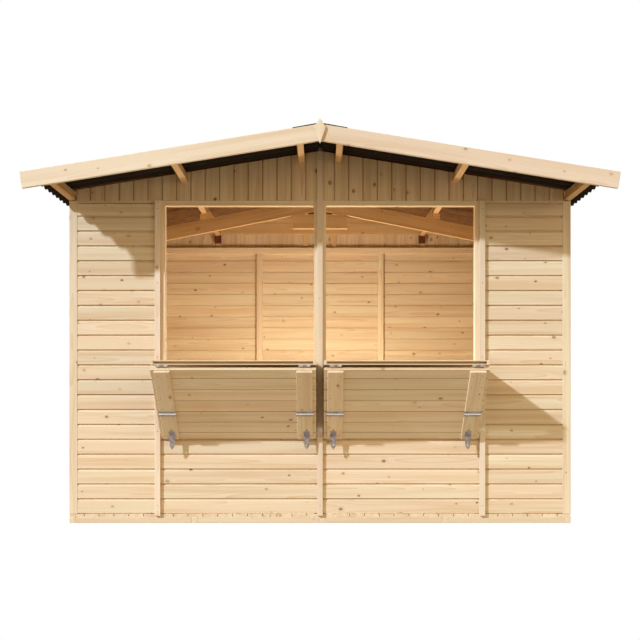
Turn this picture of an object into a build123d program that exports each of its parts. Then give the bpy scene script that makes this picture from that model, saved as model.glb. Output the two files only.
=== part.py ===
from build123d import *
from math import acos, cos, radians, sin, tan
import os

# Wooden market stall, 3 m wide and 2 m deep. Millimetres, +Z up, the serving side faces -Y,
# +X to the right of a customer who looks at it. The origin is on the ground, at the middle.

# ---------------------------------------------------------------- driving dimensions
wall_width = 3000          # over the boards of the two side walls
wall_depth = 1960          # over the boards of the front and back walls
counter_z = 958            # top of the sills and the folded-out counters
opening_h = 940            # clear height of the serving openings
board_t = 18               # wall boards
stud_w = 45                # wall framing, seen from inside
stud_d = 30                # wall framing, into the room
rail_h = 30                # horizontal framing
joist_w = 36               # ground timbers
joist_h = 34
floor_t = 20               # floor boards
roof_pitch = 9.1           # degrees
front_overhang = 475       # wall to outer face of the barge boards
eave_overhang = 102        # eave purlin to sheet edge, along the slope
purlin_w = 36
purlin_d = 57
middle_purlin_x = 813
ridge_purlin_x = 113
barge_w = 93
barge_t = 18
barge_past = 38            # sheet edge to barge tip, along the slope
barge_rise = 28            # top edge of the barge boards above the purlins
wave_pitch = 80            # corrugated sheets, about one wave
wave_h = 24
sheet_t = 3
cap_t = 5                  # ridge cap
cap_reach = 155
rafter_steeper = 2         # degrees that the truss is steeper than the roof
rafter_d = 95
rafter_t = 28
packer_h = 16.5            # rafter to the purlins beside the ridge
packer_w = 50
wedge_w = 50
wedge_drop = 20            # top of the wedge below the roof sheets
tie_w = 380                # short board under the peak of the truss
tie_rise = 3               # its foot above the wall boarding
tie_shoulder = 40
batten_t = 16              # cover battens over the wall joints
batten_w = 34
batten_low = 44
batten_gap = 6             # top of the gable battens below the roof sheets
front_joint_x = 970        # centre of the outer cover battens
back_joint_x = 484
opening_side = 926         # clear serving opening, from the middle of the stall
post_side = 36
sill_t = 20
sill_d = 60
rail_rise = 19             # top of the back wall's rail above its boards
rebate_rise = 35           # dark rebate along the foot of the gables, inside
rebate_d = 10
plank_rise = 125           # foot of the wide gable planks above the wall boarding
plank_t = 18
stub_t = 12                # short uprights behind the planks
block_w = 52               # blocks that carry the middle purlins on the back wall's rail
block_d = 34
block_rise = 53
hatch_clear = 5            # hatch edge to cover batten
shelf_t = 26
brace_t = 16
brace_foot = 1             # gap between the brace's foot and the boards
hatch_batten_w = 90
hatch_batten_t = 18
hatch_batten_inset = 20    # from the leaf's side edges
hatch_batten_end = 12      # from the leaf's ends
shelf_reach = 382          # sill hinge pin to fold hinge pin, when folded out
brace_lap = 14             # closed brace above the underside of the head rail
lower_leaf = 227           # length of the brace's lower board leaf
leaf_gap = 1.5
finial_w = 66
finial_t = 12
finial_drop = 18.5         # below the barge boards' lower corner
finial_rise = 26.5         # above their upper corner
finial_waist = 0.66        # widest place, as a share of its height
door_from = 138            # doorway from the side wall's middle batten
door_over = 64             # door head to the side wall's top rail
door_gap = 4
door_stop = 15             # doorway edge to the jamb that the door shuts against
jamb_w = 45
ledge_w = 90
ledge_t = 20
ledge_from = 180           # from the ends of the door
strap_l = 260              # door straps
strap_w = 30
strap_fixed = 30           # short leaf beyond the hinge pin
latch_rise = 979           # above the floor
latch_low = 50             # bar below the plate's middle
latch_high = 14
latch_left = 30
latch_right = 60
bar_w = 12
bar_t = 22

seat = 0.3                 # clearance where a timber rests on another
fit = 0.5                  # clearance of a notch round a purlin
notch_over = 10            # notches run on this far above the purlins
pin_r = 4                  # hinge knuckles
leaf_t = 2                 # hinge plates
hinge_len = 66
hinge_leaf = 22
hinge_x = 300              # sill hinges, from the middle of the hatch
pin_out = 11               # sill hinge pins in front of the boards
edge_gap = 3               # counter's rear edge to those pins
plate_gap = 1              # hinge plate to its knuckles
leaf_root = 1.5            # length by which a knuckle's tongue enters its leaf
mid_hinge_len = 100        # middle hinges of the braces
mid_hinge_leaf = 19
hasp_w = 36
hasp_shift = 8             # hasps nearer the post than the hinge lines
hasp_from_foot = 45        # hasp pins up the brace
hasp_off = 4               # hasp pins in front of the battens
hasp_pin_r = 3
hasp_plate = 38
strap_len = 80             # hanging hasp straps
strap_t = 2
strap_point = 18
strap_taper = 0.36         # half width where the point starts, as a share of the width
slot_l = 26
slot_w = 8
slot_up = 34               # slot's middle above the strap's point

# ---------------------------------------------------------------- derived places
half_w = wall_width / 2
half_d = wall_depth / 2
front = -half_d
wall_top = counter_z + opening_h + rail_h
head_low = wall_top - rail_h
wall_t = board_t + stud_d
inner_x = half_w - wall_t
inner_y = half_d - wall_t
floor_top = joist_h + floor_t
slope = radians(roof_pitch)
eave_u = (half_w + purlin_d * sin(slope)) / cos(slope)
ridge_z = wall_top + seat + eave_u * sin(slope) + purlin_d * cos(slope)
purlin_drop = purlin_d / cos(slope)
eave_reach = eave_u + eave_overhang
barge_reach = eave_reach + barge_past
barge_back = half_d + front_overhang - barge_t
hatch_mid = front_joint_x / 2
shelf_w = front_joint_x - batten_w - 2 * hatch_clear
doorway = (batten_w / 2 + door_from, half_d - stud_w)
between_jambs = (doorway[0] + door_stop, doorway[1] - door_stop)
door_h = head_low - door_over - floor_top
rafter_slope = radians(roof_pitch + rafter_steeper)
rafter_under = (ridge_z - ridge_purlin_x * tan(slope) - purlin_drop - packer_h
                - rafter_d / cos(rafter_slope) + ridge_purlin_x * tan(rafter_slope))

roof_right = Plane(origin=(0, 0, ridge_z), x_dir=(cos(slope), 0, -sin(slope)),
                   z_dir=(sin(slope), 0, cos(slope)))
roof_left = Plane(origin=(0, 0, ridge_z), x_dir=(-cos(slope), 0, -sin(slope)),
                  z_dir=(-sin(slope), 0, cos(slope)))
roof_planes = {"left": roof_left, "right": roof_right}
sides = {"left": -1, "right": 1}

os.makedirs("parts", exist_ok=True)


def save(piece, name):
    """Label one finished piece and write it as its own STEP file."""
    piece.part.label = name
    export_step(piece.part, f"parts/{name}.step")


def block(x0, x1, y0, y1, z0, z1, mode=Mode.ADD):
    """A square timber between two corners, in the frame of the stall."""
    with Locations(((x0 + x1) / 2, (y0 + y1) / 2, (z0 + z1) / 2)):
        Box(abs(x1 - x0), abs(y1 - y0), abs(z1 - z0), mode=mode)


def laid(plane, x0, x1, y0, y1, z0, z1, mode=Mode.ADD):
    """The same between two corners in the frame of a plane."""
    middle = Location(((x0 + x1) / 2, (y0 + y1) / 2, (z0 + z1) / 2))
    with Locations(plane.location * middle):
        Box(abs(x1 - x0), abs(y1 - y0), abs(z1 - z0), mode=mode)


def roof_under(x):
    """Height of the underside of the roof sheets at x."""
    return ridge_z - abs(x) * tan(slope)


def rafter_low(x):
    """Height of the underside of the rafters at x."""
    return rafter_under - abs(x) * tan(rafter_slope)


def rafter_high(x):
    """Height of the top of the rafters at x."""
    return rafter_low(x) + rafter_d / cos(rafter_slope)


def on_slope(u, n):
    """World (x, z) of a point on the right-hand slope: u down from the ridge, n above the purlins."""
    return (u * cos(slope) + n * sin(slope), ridge_z - u * sin(slope) + n * cos(slope))


def purlin_u(x):
    """Distance down the slope to the centre of a purlin whose centre line is at x."""
    return (x + purlin_d / 2 * sin(slope)) / cos(slope)


purlin_centres = (purlin_u(ridge_purlin_x), purlin_u(middle_purlin_x), eave_u - purlin_w / 2)

# ---------------------------------------------------------------- ground frame and floor
# Two floor modules side by side, each with three joists and short rims between them.
module_joists = (joist_w / 2, half_w / 2, half_w - joist_w / 2)
with BuildPart() as floor_joists:
    for start in (-half_w, 0):
        for centre in module_joists:
            half = joist_w / 2 - seat
            block(start + centre - half, start + centre + half, -half_d, half_d, 0, joist_h)
save(floor_joists, "floor_joists")

with BuildPart() as floor_rims:
    for start in (-half_w, 0):
        for left, right in zip(module_joists, module_joists[1:]):
            for y in (-half_d, half_d - joist_w):
                block(start + left + joist_w / 2, start + right - joist_w / 2, y, y + joist_w,
                      0, joist_h)
save(floor_rims, "floor_rims")

with BuildPart() as floor:
    block(-half_w, half_w, -half_d, half_d, joist_h, floor_top)
save(floor, "floor")

# ---------------------------------------------------------------- side walls
side_run = half_d - stud_w
with BuildPart() as left_wall:
    block(-half_w, -half_w + board_t, -side_run, side_run, floor_top, wall_top)
save(left_wall, "left_wall")

with BuildPart() as right_wall:
    block(half_w - board_t, half_w, -side_run, side_run, floor_top, wall_top)
    block(half_w - board_t, half_w, doorway[0], doorway[1], floor_top, floor_top + door_h,
          mode=Mode.SUBTRACT)
save(right_wall, "right_wall")

# The corner posts are as thick as the walls, and the boards run between them.
with BuildPart() as side_wall_studs:
    for side in (-1, 1):
        block(side * inner_x, side * (half_w - board_t), -stud_w / 2, stud_w / 2,
              floor_top, wall_top)
        for y in (-half_d, side_run):
            block(side * inner_x, side * half_w, y, y + stud_w, floor_top, wall_top)
    block(inner_x, half_w - board_t, doorway[0] + door_stop - jamb_w, between_jambs[0],
          floor_top, wall_top)
    block(inner_x, half_w - board_t, between_jambs[1], doorway[1], floor_top, wall_top)
save(side_wall_studs, "side_wall_studs")

# ---------------------------------------------------------------- back wall
with BuildPart() as back_wall:
    block(-inner_x, inner_x, half_d - board_t, half_d, floor_top, wall_top)
save(back_wall, "back_wall")

back_studs_x = [-inner_x, -back_joint_x - stud_w / 2, back_joint_x - stud_w / 2, inner_x - stud_w]
with BuildPart() as back_wall_studs:
    for x in back_studs_x:
        block(x, x + stud_w, inner_y, half_d - board_t, floor_top, wall_top - rail_h)
save(back_wall_studs, "back_wall_studs")

# Rails along the tops of the walls and at the foot of the side walls, on the studs' line.
rail_top = wall_top + rail_rise
near_bay = (-side_run, -stud_w / 2)
far_bay = (stud_w / 2, inner_y - seat)
with BuildPart() as wall_rails:
    block(-inner_x, inner_x, inner_y, half_d - board_t, wall_top - rail_h, rail_top)
    for z in (floor_top, wall_top - rail_h):
        block(-half_w + board_t, -inner_x, *near_bay, z, z + rail_h)
        block(-half_w + board_t, -inner_x, *far_bay, z, z + rail_h)
        block(inner_x, half_w - board_t, *near_bay, z, z + rail_h)
    block(inner_x, half_w - board_t, stud_w / 2, doorway[0] + door_stop - jamb_w,
          wall_top - rail_h, wall_top)
    block(inner_x, half_w - board_t, *between_jambs, wall_top - rail_h, wall_top)
    block(inner_x, half_w - board_t, *between_jambs, floor_top + door_h,
          floor_top + door_h + rail_h)
save(wall_rails, "wall_rails")

# ---------------------------------------------------------------- boarded side door, kept shut
with BuildPart() as side_door:
    block(half_w - board_t, half_w, doorway[0] + door_gap, doorway[1] - door_gap,
          floor_top + door_gap, floor_top + door_h - door_gap)
    for z in (floor_top + ledge_from, floor_top + door_h - ledge_from - ledge_w):
        block(half_w - board_t - ledge_t, half_w - board_t, between_jambs[0] + door_gap,
              between_jambs[1] - door_gap, z, z + ledge_w)
save(side_door, "side_door")

strap_middles = (floor_top + ledge_from + ledge_w / 2,
                 floor_top + door_h - ledge_from - ledge_w / 2)
with BuildPart() as door_ironwork:
    for z in strap_middles:
        block(half_w, half_w + leaf_t, doorway[1] - strap_l, doorway[1] + strap_fixed,
              z - strap_w / 2, z + strap_w / 2)
        with BuildSketch(Plane.XY.offset(z - strap_w / 2)):
            with Locations((half_w + pin_r, doorway[1])):
                Circle(pin_r)
        extrude(amount=strap_w)
    latch_z = floor_top + latch_rise
    block(half_w, half_w + leaf_t, doorway[0] - latch_left, doorway[0] + latch_right,
          latch_z - latch_high, latch_z + latch_high)
    block(half_w + leaf_t, half_w + leaf_t + bar_t, doorway[0] + latch_left,
          doorway[0] + latch_left + bar_w, latch_z - latch_low, latch_z + latch_high)
save(door_ironwork, "door_ironwork")

# ---------------------------------------------------------------- front wall
# Posts stand at the ends and beside the openings. Above the sills they come forward to the
# face of the boards, and below them the skirt boards run on to the wall's joints.
sill_low = counter_z - sill_t
with BuildPart() as front_posts:
    for side in (-1, 1):
        block(side * (inner_x - stud_w), side * inner_x, front + board_t, front + wall_t,
              floor_top, wall_top)
        block(side * (front_joint_x + fit), side * (front_joint_x + stud_w), front + board_t,
              front + wall_t, floor_top, wall_top)
        for near, far in ((opening_side, front_joint_x), (fit, post_side)):
            block(side * near, side * far, front + board_t, front + wall_t, floor_top, wall_top)
            block(side * near, side * far, front, front + board_t, sill_low, wall_top)
save(front_posts, "front_posts")

for name, side in sides.items():
    with BuildPart() as front_panel:
        block(side * (front_joint_x + fit), side * inner_x, front, front + board_t,
              floor_top, wall_top)
    save(front_panel, f"front_panel_{name}")

with BuildPart() as front_skirts:
    for side in (-1, 1):
        block(side * fit, side * front_joint_x, front, front + board_t, floor_top, sill_low)
save(front_skirts, "front_skirts")

# A sill and a head rail to each opening.
with BuildPart() as opening_rails:
    for side in (-1, 1):
        block(side * post_side, side * opening_side, front, front + sill_d,
              sill_low, counter_z)
        block(side * post_side, side * opening_side, front, front + wall_t, head_low, wall_top)
save(opening_rails, "opening_rails")

batten_high = roof_under(0) - batten_gap
with BuildPart() as cover_battens:
    for side in (-1, 1):
        block(side * (front_joint_x - batten_w / 2), side * (front_joint_x + batten_w / 2),
              front - batten_t, front, batten_low, wall_top)
        block(side * (back_joint_x - batten_w / 2), side * (back_joint_x + batten_w / 2),
              half_d, half_d + batten_t, batten_low, wall_top)
        block(side * half_w, side * (half_w + batten_t), -batten_w / 2, batten_w / 2,
              batten_low, wall_top)
    block(-batten_w / 2, batten_w / 2, front - batten_t, front, batten_low, batten_high)
    block(-batten_w / 2, batten_w / 2, half_d, half_d + batten_t, wall_top, batten_high)
save(cover_battens, "cover_battens")

# ---------------------------------------------------------------- purlins
purlin_half = barge_back - seat
with BuildPart() as purlins:
    for plane in roof_planes.values():
        for u in purlin_centres:
            laid(plane, u - purlin_w / 2, u + purlin_w / 2, -purlin_half, purlin_half,
                 -purlin_d, 0)
save(purlins, "purlins")


def cut_purlin_notches():
    """Cut the purlins' way through the piece being built, with a small clearance."""
    for plane in roof_planes.values():
        for u in purlin_centres:
            half = purlin_w / 2 + fit
            laid(plane, u - half, u + half, -purlin_half, purlin_half,
                 -purlin_d - fit, notch_over, mode=Mode.SUBTRACT)


def propped(x, width, low, drop):
    """Closed outline, on the XZ plane, of a post at x whose top follows the roof at that drop."""
    near = x - width / 2
    far = x + width / 2
    Polyline((near, low), (far, low), (far, roof_under(far) - drop),
             (near, roof_under(near) - drop), close=True)


# ---------------------------------------------------------------- gables
gable_x = on_slope(eave_u - purlin_w, -purlin_d)[0] - fit
rebate_top = wall_top + rebate_rise


def gable_outline(low):
    """Closed outline of a gable above the height low, on the XZ plane."""
    Polyline((-gable_x, low), (gable_x, low), (gable_x, roof_under(gable_x) - fit),
             (0, roof_under(0) - fit), (-gable_x, roof_under(gable_x) - fit), close=True)


for name, side in (("front", -1), ("back", 1)):
    with BuildPart() as gable:
        with BuildSketch(Plane.XZ.offset(-side * half_d)):
            with BuildLine():
                gable_outline(wall_top)
            make_face()
        extrude(amount=side * board_t)
        cut_purlin_notches()
        inside = side * (half_d - board_t)
        block(-gable_x, gable_x, inside, inside + side * rebate_d, wall_top, rebate_top,
              mode=Mode.SUBTRACT)
    save(gable, f"{name}_gable")

# Short uprights under the purlins, on the inside of the gables.
under_purlin = purlin_drop + seat
with BuildPart() as gable_uprights:
    for side in (-1, 1):
        low = rail_top if side > 0 else wall_top + seat
        with BuildSketch(Plane.XZ.offset(-side * (half_d - board_t - stub_t))):
            for x in (-middle_purlin_x, -ridge_purlin_x, ridge_purlin_x, middle_purlin_x):
                with BuildLine():
                    propped(x, purlin_w, low, under_purlin)
                make_face()
        extrude(amount=-side * stub_t)
save(gable_uprights, "gable_uprights")

# Wide planks over the uprights, cut round the purlins and the blocks on the back wall's rail.
plank_low = wall_top + plank_rise
block_low = wall_top + block_rise
with BuildPart() as gable_planks:
    for side in (-1, 1):
        with BuildSketch(Plane.XZ.offset(-side * (half_d - board_t - stub_t))):
            plank_x = (ridge_z - fit - plank_low) / tan(slope)
            with BuildLine():
                Polyline((-plank_x, plank_low), (plank_x, plank_low), (0, ridge_z - fit),
                         close=True)
            make_face()
        extrude(amount=side * plank_t)
    cut_purlin_notches()
    for x in (-middle_purlin_x, middle_purlin_x):
        with BuildSketch(Plane.XZ.offset(-(half_d - board_t - stub_t))):
            with BuildLine():
                propped(x, block_w + 2 * fit, block_low - fit, under_purlin - fit)
            make_face()
        extrude(amount=plank_t, mode=Mode.SUBTRACT)
save(gable_planks, "gable_planks")

# Blocks that carry the middle purlins in front of the back gable's uprights.
with BuildPart() as purlin_blocks:
    with BuildSketch(Plane.XZ.offset(-(half_d - board_t - stub_t))):
        for x in (-middle_purlin_x, middle_purlin_x):
            with BuildLine():
                propped(x, block_w, block_low, under_purlin)
            make_face()
    extrude(amount=block_d)
save(purlin_blocks, "purlin_blocks")

# ---------------------------------------------------------------- truss in the middle
rafter_end = inner_x - seat
with BuildPart() as truss_rafters:
    for side in (-1, 1):
        with BuildSketch(Plane.XZ.offset(-rafter_t / 2)):
            with BuildLine():
                Polyline((side * fit, rafter_low(fit)),
                         (side * rafter_end, rafter_low(rafter_end)),
                         (side * rafter_end, rafter_high(rafter_end)),
                         (side * fit, rafter_high(fit)), close=True)
            make_face()
        extrude(amount=rafter_t)
save(truss_rafters, "truss_rafters")

with BuildPart() as truss_tie:
    tie_half = tie_w / 2
    tie_low = wall_top + tie_rise
    shoulder = tie_half - tie_shoulder
    with BuildSketch(Plane.XZ.offset(-rafter_t / 2)):
        with BuildLine():
            Polyline((-tie_half, tie_low), (tie_half, tie_low), (tie_half, rafter_low(tie_half)),
                     (shoulder, rafter_low(shoulder)), (-shoulder, rafter_low(shoulder)),
                     (-tie_half, rafter_low(tie_half)), close=True)
        make_face()
    extrude(amount=rafter_t)
save(truss_tie, "truss_tie")

# Packing between the rafters and the purlins, with a wedge against the middle purlins.
with BuildPart() as rafter_packers:
    for side in (-1, 1):
        for x in (middle_purlin_x, ridge_purlin_x):
            far = x + packer_w / 2
            near = x - packer_w / 2
            with BuildSketch(Plane.XZ.offset(-rafter_t / 2)):
                with BuildLine():
                    Polyline((side * near, rafter_high(near) + seat),
                             (side * far, rafter_high(far) + seat),
                             (side * far, roof_under(far) - under_purlin),
                             (side * near, roof_under(near) - under_purlin), close=True)
                make_face()
            extrude(amount=rafter_t)
        edge = middle_purlin_x - packer_w / 2 - fit
        with BuildSketch(Plane.XZ.offset(-rafter_t / 2)):
            with BuildLine():
                Polyline((side * edge, rafter_high(edge) + seat),
                         (side * edge, roof_under(edge) - wedge_drop),
                         (side * (edge - wedge_w), rafter_high(edge - wedge_w) + seat),
                         close=True)
            make_face()
        extrude(amount=rafter_t)
save(rafter_packers, "rafter_packers")

# ---------------------------------------------------------------- roof sheets and ridge cap
sheet_half = barge_back - seat
waves = round(2 * sheet_half / wave_pitch)
half_wave = sheet_half / waves
ridge_gap = 10


def wave_edge(n):
    """One face of the corrugated sheet: half waves as arcs, from one gable to the other."""
    for k in range(2 * waves):
        start = -sheet_half + k * half_wave
        crest = n + wave_h if k % 2 else n
        ThreePointArc((start, n + wave_h / 2), (start + half_wave / 2, crest),
                      (start + half_wave, n + wave_h / 2))


for name, plane in roof_planes.items():
    section = Plane(origin=plane.origin + plane.x_dir * ridge_gap, x_dir=plane.y_dir,
                    z_dir=plane.x_dir)
    with BuildPart() as roof_sheet:
        with BuildSketch(section):
            with BuildLine():
                wave_edge(seat)
                wave_edge(seat + sheet_t)
                for end in (-sheet_half, sheet_half):
                    Line((end, seat + wave_h / 2), (end, seat + sheet_t + wave_h / 2))
            make_face()
        extrude(amount=eave_reach - ridge_gap)
    save(roof_sheet, f"roof_sheet_{name}")

cap_half = half_d + front_overhang
cap_low = max(seat + wave_h + sheet_t, barge_rise) + seat
with BuildPart() as ridge_cap:
    with BuildSketch(Plane.XZ.offset(-cap_half)):
        tip = on_slope(cap_reach, cap_low + cap_t)
        hem = on_slope(cap_reach, cap_low)
        peak = ridge_z + (cap_low + cap_t) / cos(slope)
        throat = ridge_z + cap_low / cos(slope)
        with BuildLine():
            Polyline((-hem[0], hem[1]), (0, throat), hem, tip, (0, peak), (-tip[0], tip[1]),
                     close=True)
        make_face()
    extrude(amount=2 * cap_half)
save(ridge_cap, "ridge_cap")

# ---------------------------------------------------------------- barge boards and finials
barge_tip = on_slope(barge_reach, barge_rise)
barge_heel = on_slope(barge_reach, barge_rise - barge_w)
barge_peak = ridge_z + barge_rise / cos(slope) - seat * tan(slope)
barge_throat = ridge_z + (barge_rise - barge_w) / cos(slope) - seat * tan(slope)
for end, side_y in (("front", -1), ("back", 1)):
    with BuildPart() as barges:
        for side_x in (-1, 1):
            with BuildSketch(Plane.XZ.offset(-side_y * barge_back)):
                with BuildLine():
                    Polyline((side_x * seat, barge_throat),
                             (side_x * barge_heel[0], barge_heel[1]),
                             (side_x * barge_tip[0], barge_tip[1]),
                             (side_x * seat, barge_peak), close=True)
                make_face()
            extrude(amount=-side_y * barge_t)
    save(barges, f"{end}_barge_boards")

finial_low = barge_throat - finial_drop
finial_top = barge_peak + finial_rise
finial_wide = finial_low + (finial_top - finial_low) * finial_waist
with BuildPart() as finials:
    for side_y in (-1, 1):
        with BuildSketch(Plane.XZ.offset(-side_y * (half_d + front_overhang))):
            with BuildLine():
                Polyline((0, finial_low), (finial_w / 2, finial_wide), (0, finial_top),
                         (-finial_w / 2, finial_wide), close=True)
            make_face()
        extrude(amount=-side_y * finial_t)
save(finials, "finials")

# ---------------------------------------------------------------- folding counters
# Each hatch is a counter hinged on the sill and a brace hinged under the counter's outer edge.
# Folded up, the two stand in line in front of the opening.
sill_pin = (front - pin_out, counter_z + pin_r)
fold_pin = (sill_pin[0] - shelf_reach, counter_z - shelf_t - leaf_t - pin_r)
foot_run = front - brace_foot - fold_pin[0]
brace_len = head_low + brace_lap - sill_pin[1] - shelf_reach
brace_angle = acos(foot_run / brace_len)
split_y = brace_len - lower_leaf
end_gap = pin_r + leaf_t
third = hinge_len / 3
third_half = (third - fit) / 2
# x along the stall, y down the brace, z to its hidden face.
brace_plane = Plane(origin=(0, fold_pin[0], fold_pin[1]), x_dir=(1, 0, 0),
                    z_dir=(0, sin(brace_angle), cos(brace_angle)))
brace_low = -brace_t - hatch_batten_t
hasp_down = brace_len - hasp_from_foot
hasp_n = brace_low - hasp_off
hasp_pin = (fold_pin[0] + hasp_down * cos(brace_angle) + hasp_n * sin(brace_angle),
            fold_pin[1] - hasp_down * sin(brace_angle) + hasp_n * cos(brace_angle))
hasp_third = hasp_w / 3
hasp_half = (hasp_third - fit) / 2


def knuckle(x, y, z, length, radius=pin_r):
    """A hinge barrel along the stall, centred on a point."""
    with Locations(Location((x, y, z), (0, 90, 0))):
        Cylinder(radius, length)


def counter_leaf(x, pin, back, low):
    """A counter's half of a hinge: its leaf on one side of the pin, and the two outer knuckles."""
    block(x - hinge_len / 2, x + hinge_len / 2, pin[0] + back * (pin_r + plate_gap),
          pin[0] + back * (pin_r + plate_gap + hinge_leaf), low, low + leaf_t)
    for shift in (-third, third):
        knuckle(x + shift, *pin, 2 * third_half)
        block(x + shift - third_half, x + shift + third_half, pin[0],
              pin[0] + back * (pin_r + leaf_root), low, low + leaf_t)


with BuildPart() as sill_hinges:
    for side in (-1, 1):
        for offset in (-hinge_x, hinge_x):
            x = side * hatch_mid + offset
            leaf_y = sill_pin[0] + pin_r + plate_gap
            knuckle(x, *sill_pin, 2 * third_half)
            block(x - third_half, x + third_half, sill_pin[0], sill_pin[0] + pin_r + leaf_root,
                  counter_z, counter_z + leaf_t)
            block(x - hinge_len / 2, x + hinge_len / 2, leaf_y, leaf_y + hinge_leaf,
                  counter_z, counter_z + leaf_t)
save(sill_hinges, "sill_hinges")

for name, side in sides.items():
    x_in = side * (hatch_mid - shelf_w / 2)
    x_out = side * (hatch_mid + shelf_w / 2)
    line_inset = hatch_batten_inset + hatch_batten_w / 2
    hinge_lines = (x_in + side * line_inset, x_out - side * line_inset)

    with BuildPart() as shelf:
        block(x_in, x_out, fold_pin[0], sill_pin[0] - edge_gap, counter_z - shelf_t, counter_z)
    save(shelf, f"{name}_counter")

    with BuildPart() as shelf_hinges:
        for offset in (-hinge_x, hinge_x):
            counter_leaf(side * hatch_mid + offset, sill_pin, -1, counter_z)
        for x in hinge_lines:
            counter_leaf(x, fold_pin, 1, counter_z - shelf_t - leaf_t)
    save(shelf_hinges, f"{name}_counter_hinges")

    with BuildPart() as brace:
        laid(brace_plane, x_in, x_out, end_gap, split_y - leaf_gap / 2, -brace_t, 0)
        laid(brace_plane, x_in, x_out, split_y + leaf_gap / 2, brace_len, -brace_t, 0)
    save(brace, f"{name}_brace")

    with BuildPart() as brace_battens:
        for x in hinge_lines:
            edge = (x - hatch_batten_w / 2, x + hatch_batten_w / 2)
            laid(brace_plane, *edge, end_gap + hatch_batten_end, split_y - leaf_gap / 2,
                 brace_low, -brace_t)
            laid(brace_plane, *edge, split_y + leaf_gap / 2, brace_len - hatch_batten_end,
                 brace_low, -brace_t)
    save(brace_battens, f"{name}_brace_battens")

    with BuildPart() as brace_ironwork:
        for x in hinge_lines:
            # leaf of the fold hinge, on the hidden face, with its middle knuckle
            laid(brace_plane, x - hinge_len / 2, x + hinge_len / 2, pin_r + plate_gap,
                 pin_r + plate_gap + hinge_leaf, 0, leaf_t)
            knuckle(x, *fold_pin, 2 * third_half)
            laid(brace_plane, x - third_half, x + third_half, 0, pin_r + leaf_root, 0, leaf_t)
            # middle hinge across each batten, which holds the two board leaves in line
            half = mid_hinge_len / 2
            laid(brace_plane, x - half, x + half, split_y - mid_hinge_leaf,
                 split_y + mid_hinge_leaf, brace_low - leaf_t, brace_low)
            with Locations(brace_plane.location * Location((x, split_y, brace_low - pin_r),
                                                           (0, 90, 0))):
                Cylinder(pin_r, mid_hinge_len)
            # fixed plate of the hasp, with the middle knuckle of its strap
            hx = x - side * hasp_shift
            laid(brace_plane, hx - hasp_w / 2, hx + hasp_w / 2, hasp_down - hasp_plate,
                 hasp_down - pin_r, brace_low - leaf_t, brace_low)
            laid(brace_plane, hx - hasp_third / 2, hx + hasp_third / 2, hasp_down - pin_r - plate_gap,
                 hasp_down, brace_low - leaf_t, brace_low)
            with Locations(brace_plane.location * Location((hx, hasp_down, hasp_n), (0, 90, 0))):
                Cylinder(hasp_pin_r, 2 * hasp_half)
    save(brace_ironwork, f"{name}_brace_ironwork")

    with BuildPart() as hasps:
        for x in hinge_lines:
            hx = x - side * hasp_shift
            strap_top = hasp_pin[1] - hasp_pin_r - strap_t
            point = hasp_pin[1] - strap_len
            tip_half = hasp_w * strap_taper
            for shift in (-hasp_third, hasp_third):
                knuckle(hx + shift, *hasp_pin, 2 * hasp_half, hasp_pin_r)
                block(hx + shift - hasp_half, hx + shift + hasp_half, hasp_pin[0] - strap_t / 2,
                      hasp_pin[0] + strap_t / 2, strap_top - plate_gap, hasp_pin[1])
            with BuildSketch(Plane.XZ.offset(-hasp_pin[0] - strap_t / 2)):
                with BuildLine():
                    Polyline((hx - hasp_w / 2, strap_top), (hx + hasp_w / 2, strap_top),
                             (hx + tip_half, point + strap_point), (hx, point),
                             (hx - tip_half, point + strap_point), close=True)
                make_face()
                with Locations((hx, point + slot_up)):
                    SlotOverall(slot_l, slot_w, rotation=90, mode=Mode.SUBTRACT)
            extrude(amount=strap_t)
    save(hasps, f"{name}_hasps")
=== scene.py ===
"""Wooden market stall: boards, timbers, folding counters, roof sheets and ironwork."""
import math

import bpy
import numpy as np
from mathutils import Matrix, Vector


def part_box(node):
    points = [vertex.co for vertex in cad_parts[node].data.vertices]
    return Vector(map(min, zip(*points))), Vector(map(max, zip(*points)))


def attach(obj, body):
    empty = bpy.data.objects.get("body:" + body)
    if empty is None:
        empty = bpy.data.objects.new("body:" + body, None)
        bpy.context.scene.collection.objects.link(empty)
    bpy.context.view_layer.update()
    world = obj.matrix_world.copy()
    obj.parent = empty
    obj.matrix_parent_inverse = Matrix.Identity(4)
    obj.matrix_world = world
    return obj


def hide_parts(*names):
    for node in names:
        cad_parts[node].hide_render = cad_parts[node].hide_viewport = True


bl_info = {
    "name": "Wooden Market Stall",
    "version": (1, 0, 0),
    "blender": (4, 5, 0),
    "location": "3D Viewport > Sidebar > Stall",
    "description": "Builds a boarded market stall with folding counters and a corrugated roof",
    "category": "Add Mesh",
}

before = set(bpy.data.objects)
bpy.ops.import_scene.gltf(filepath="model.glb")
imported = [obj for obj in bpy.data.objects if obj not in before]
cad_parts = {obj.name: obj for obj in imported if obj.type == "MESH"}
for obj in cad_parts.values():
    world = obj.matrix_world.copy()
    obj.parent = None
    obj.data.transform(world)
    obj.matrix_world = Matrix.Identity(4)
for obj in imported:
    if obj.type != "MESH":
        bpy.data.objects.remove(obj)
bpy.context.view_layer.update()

X, Y, Z = np.eye(3)
FRONT, BACK, LEFT, RIGHT = (X, Z, -Y), (X, Z, Y), (Y, Z, -X), (Y, Z, X)
SIDES = {"left": -1, "right": 1}
SLACK = 0.0001                 # boards in one row overlap by this much, so no light leaks
NEAR = 0.001                   # places closer than this count as one
SAWN = 0.0006                  # easing of sawn edges and board ends
DRAWN = 0.0008                 # how much a planed board's ends are drawn in
SMOOTH = math.radians(50)      # edges sharper than this stay crisp
LEAF = 0.002                   # thickness of the hinges' leaves
WIDE_HINGE = 0.09              # hinges longer than this are those in the middle of a brace
HASP_PLATE = 0.05              # and shorter than this, the plates that carry the hasps


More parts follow.
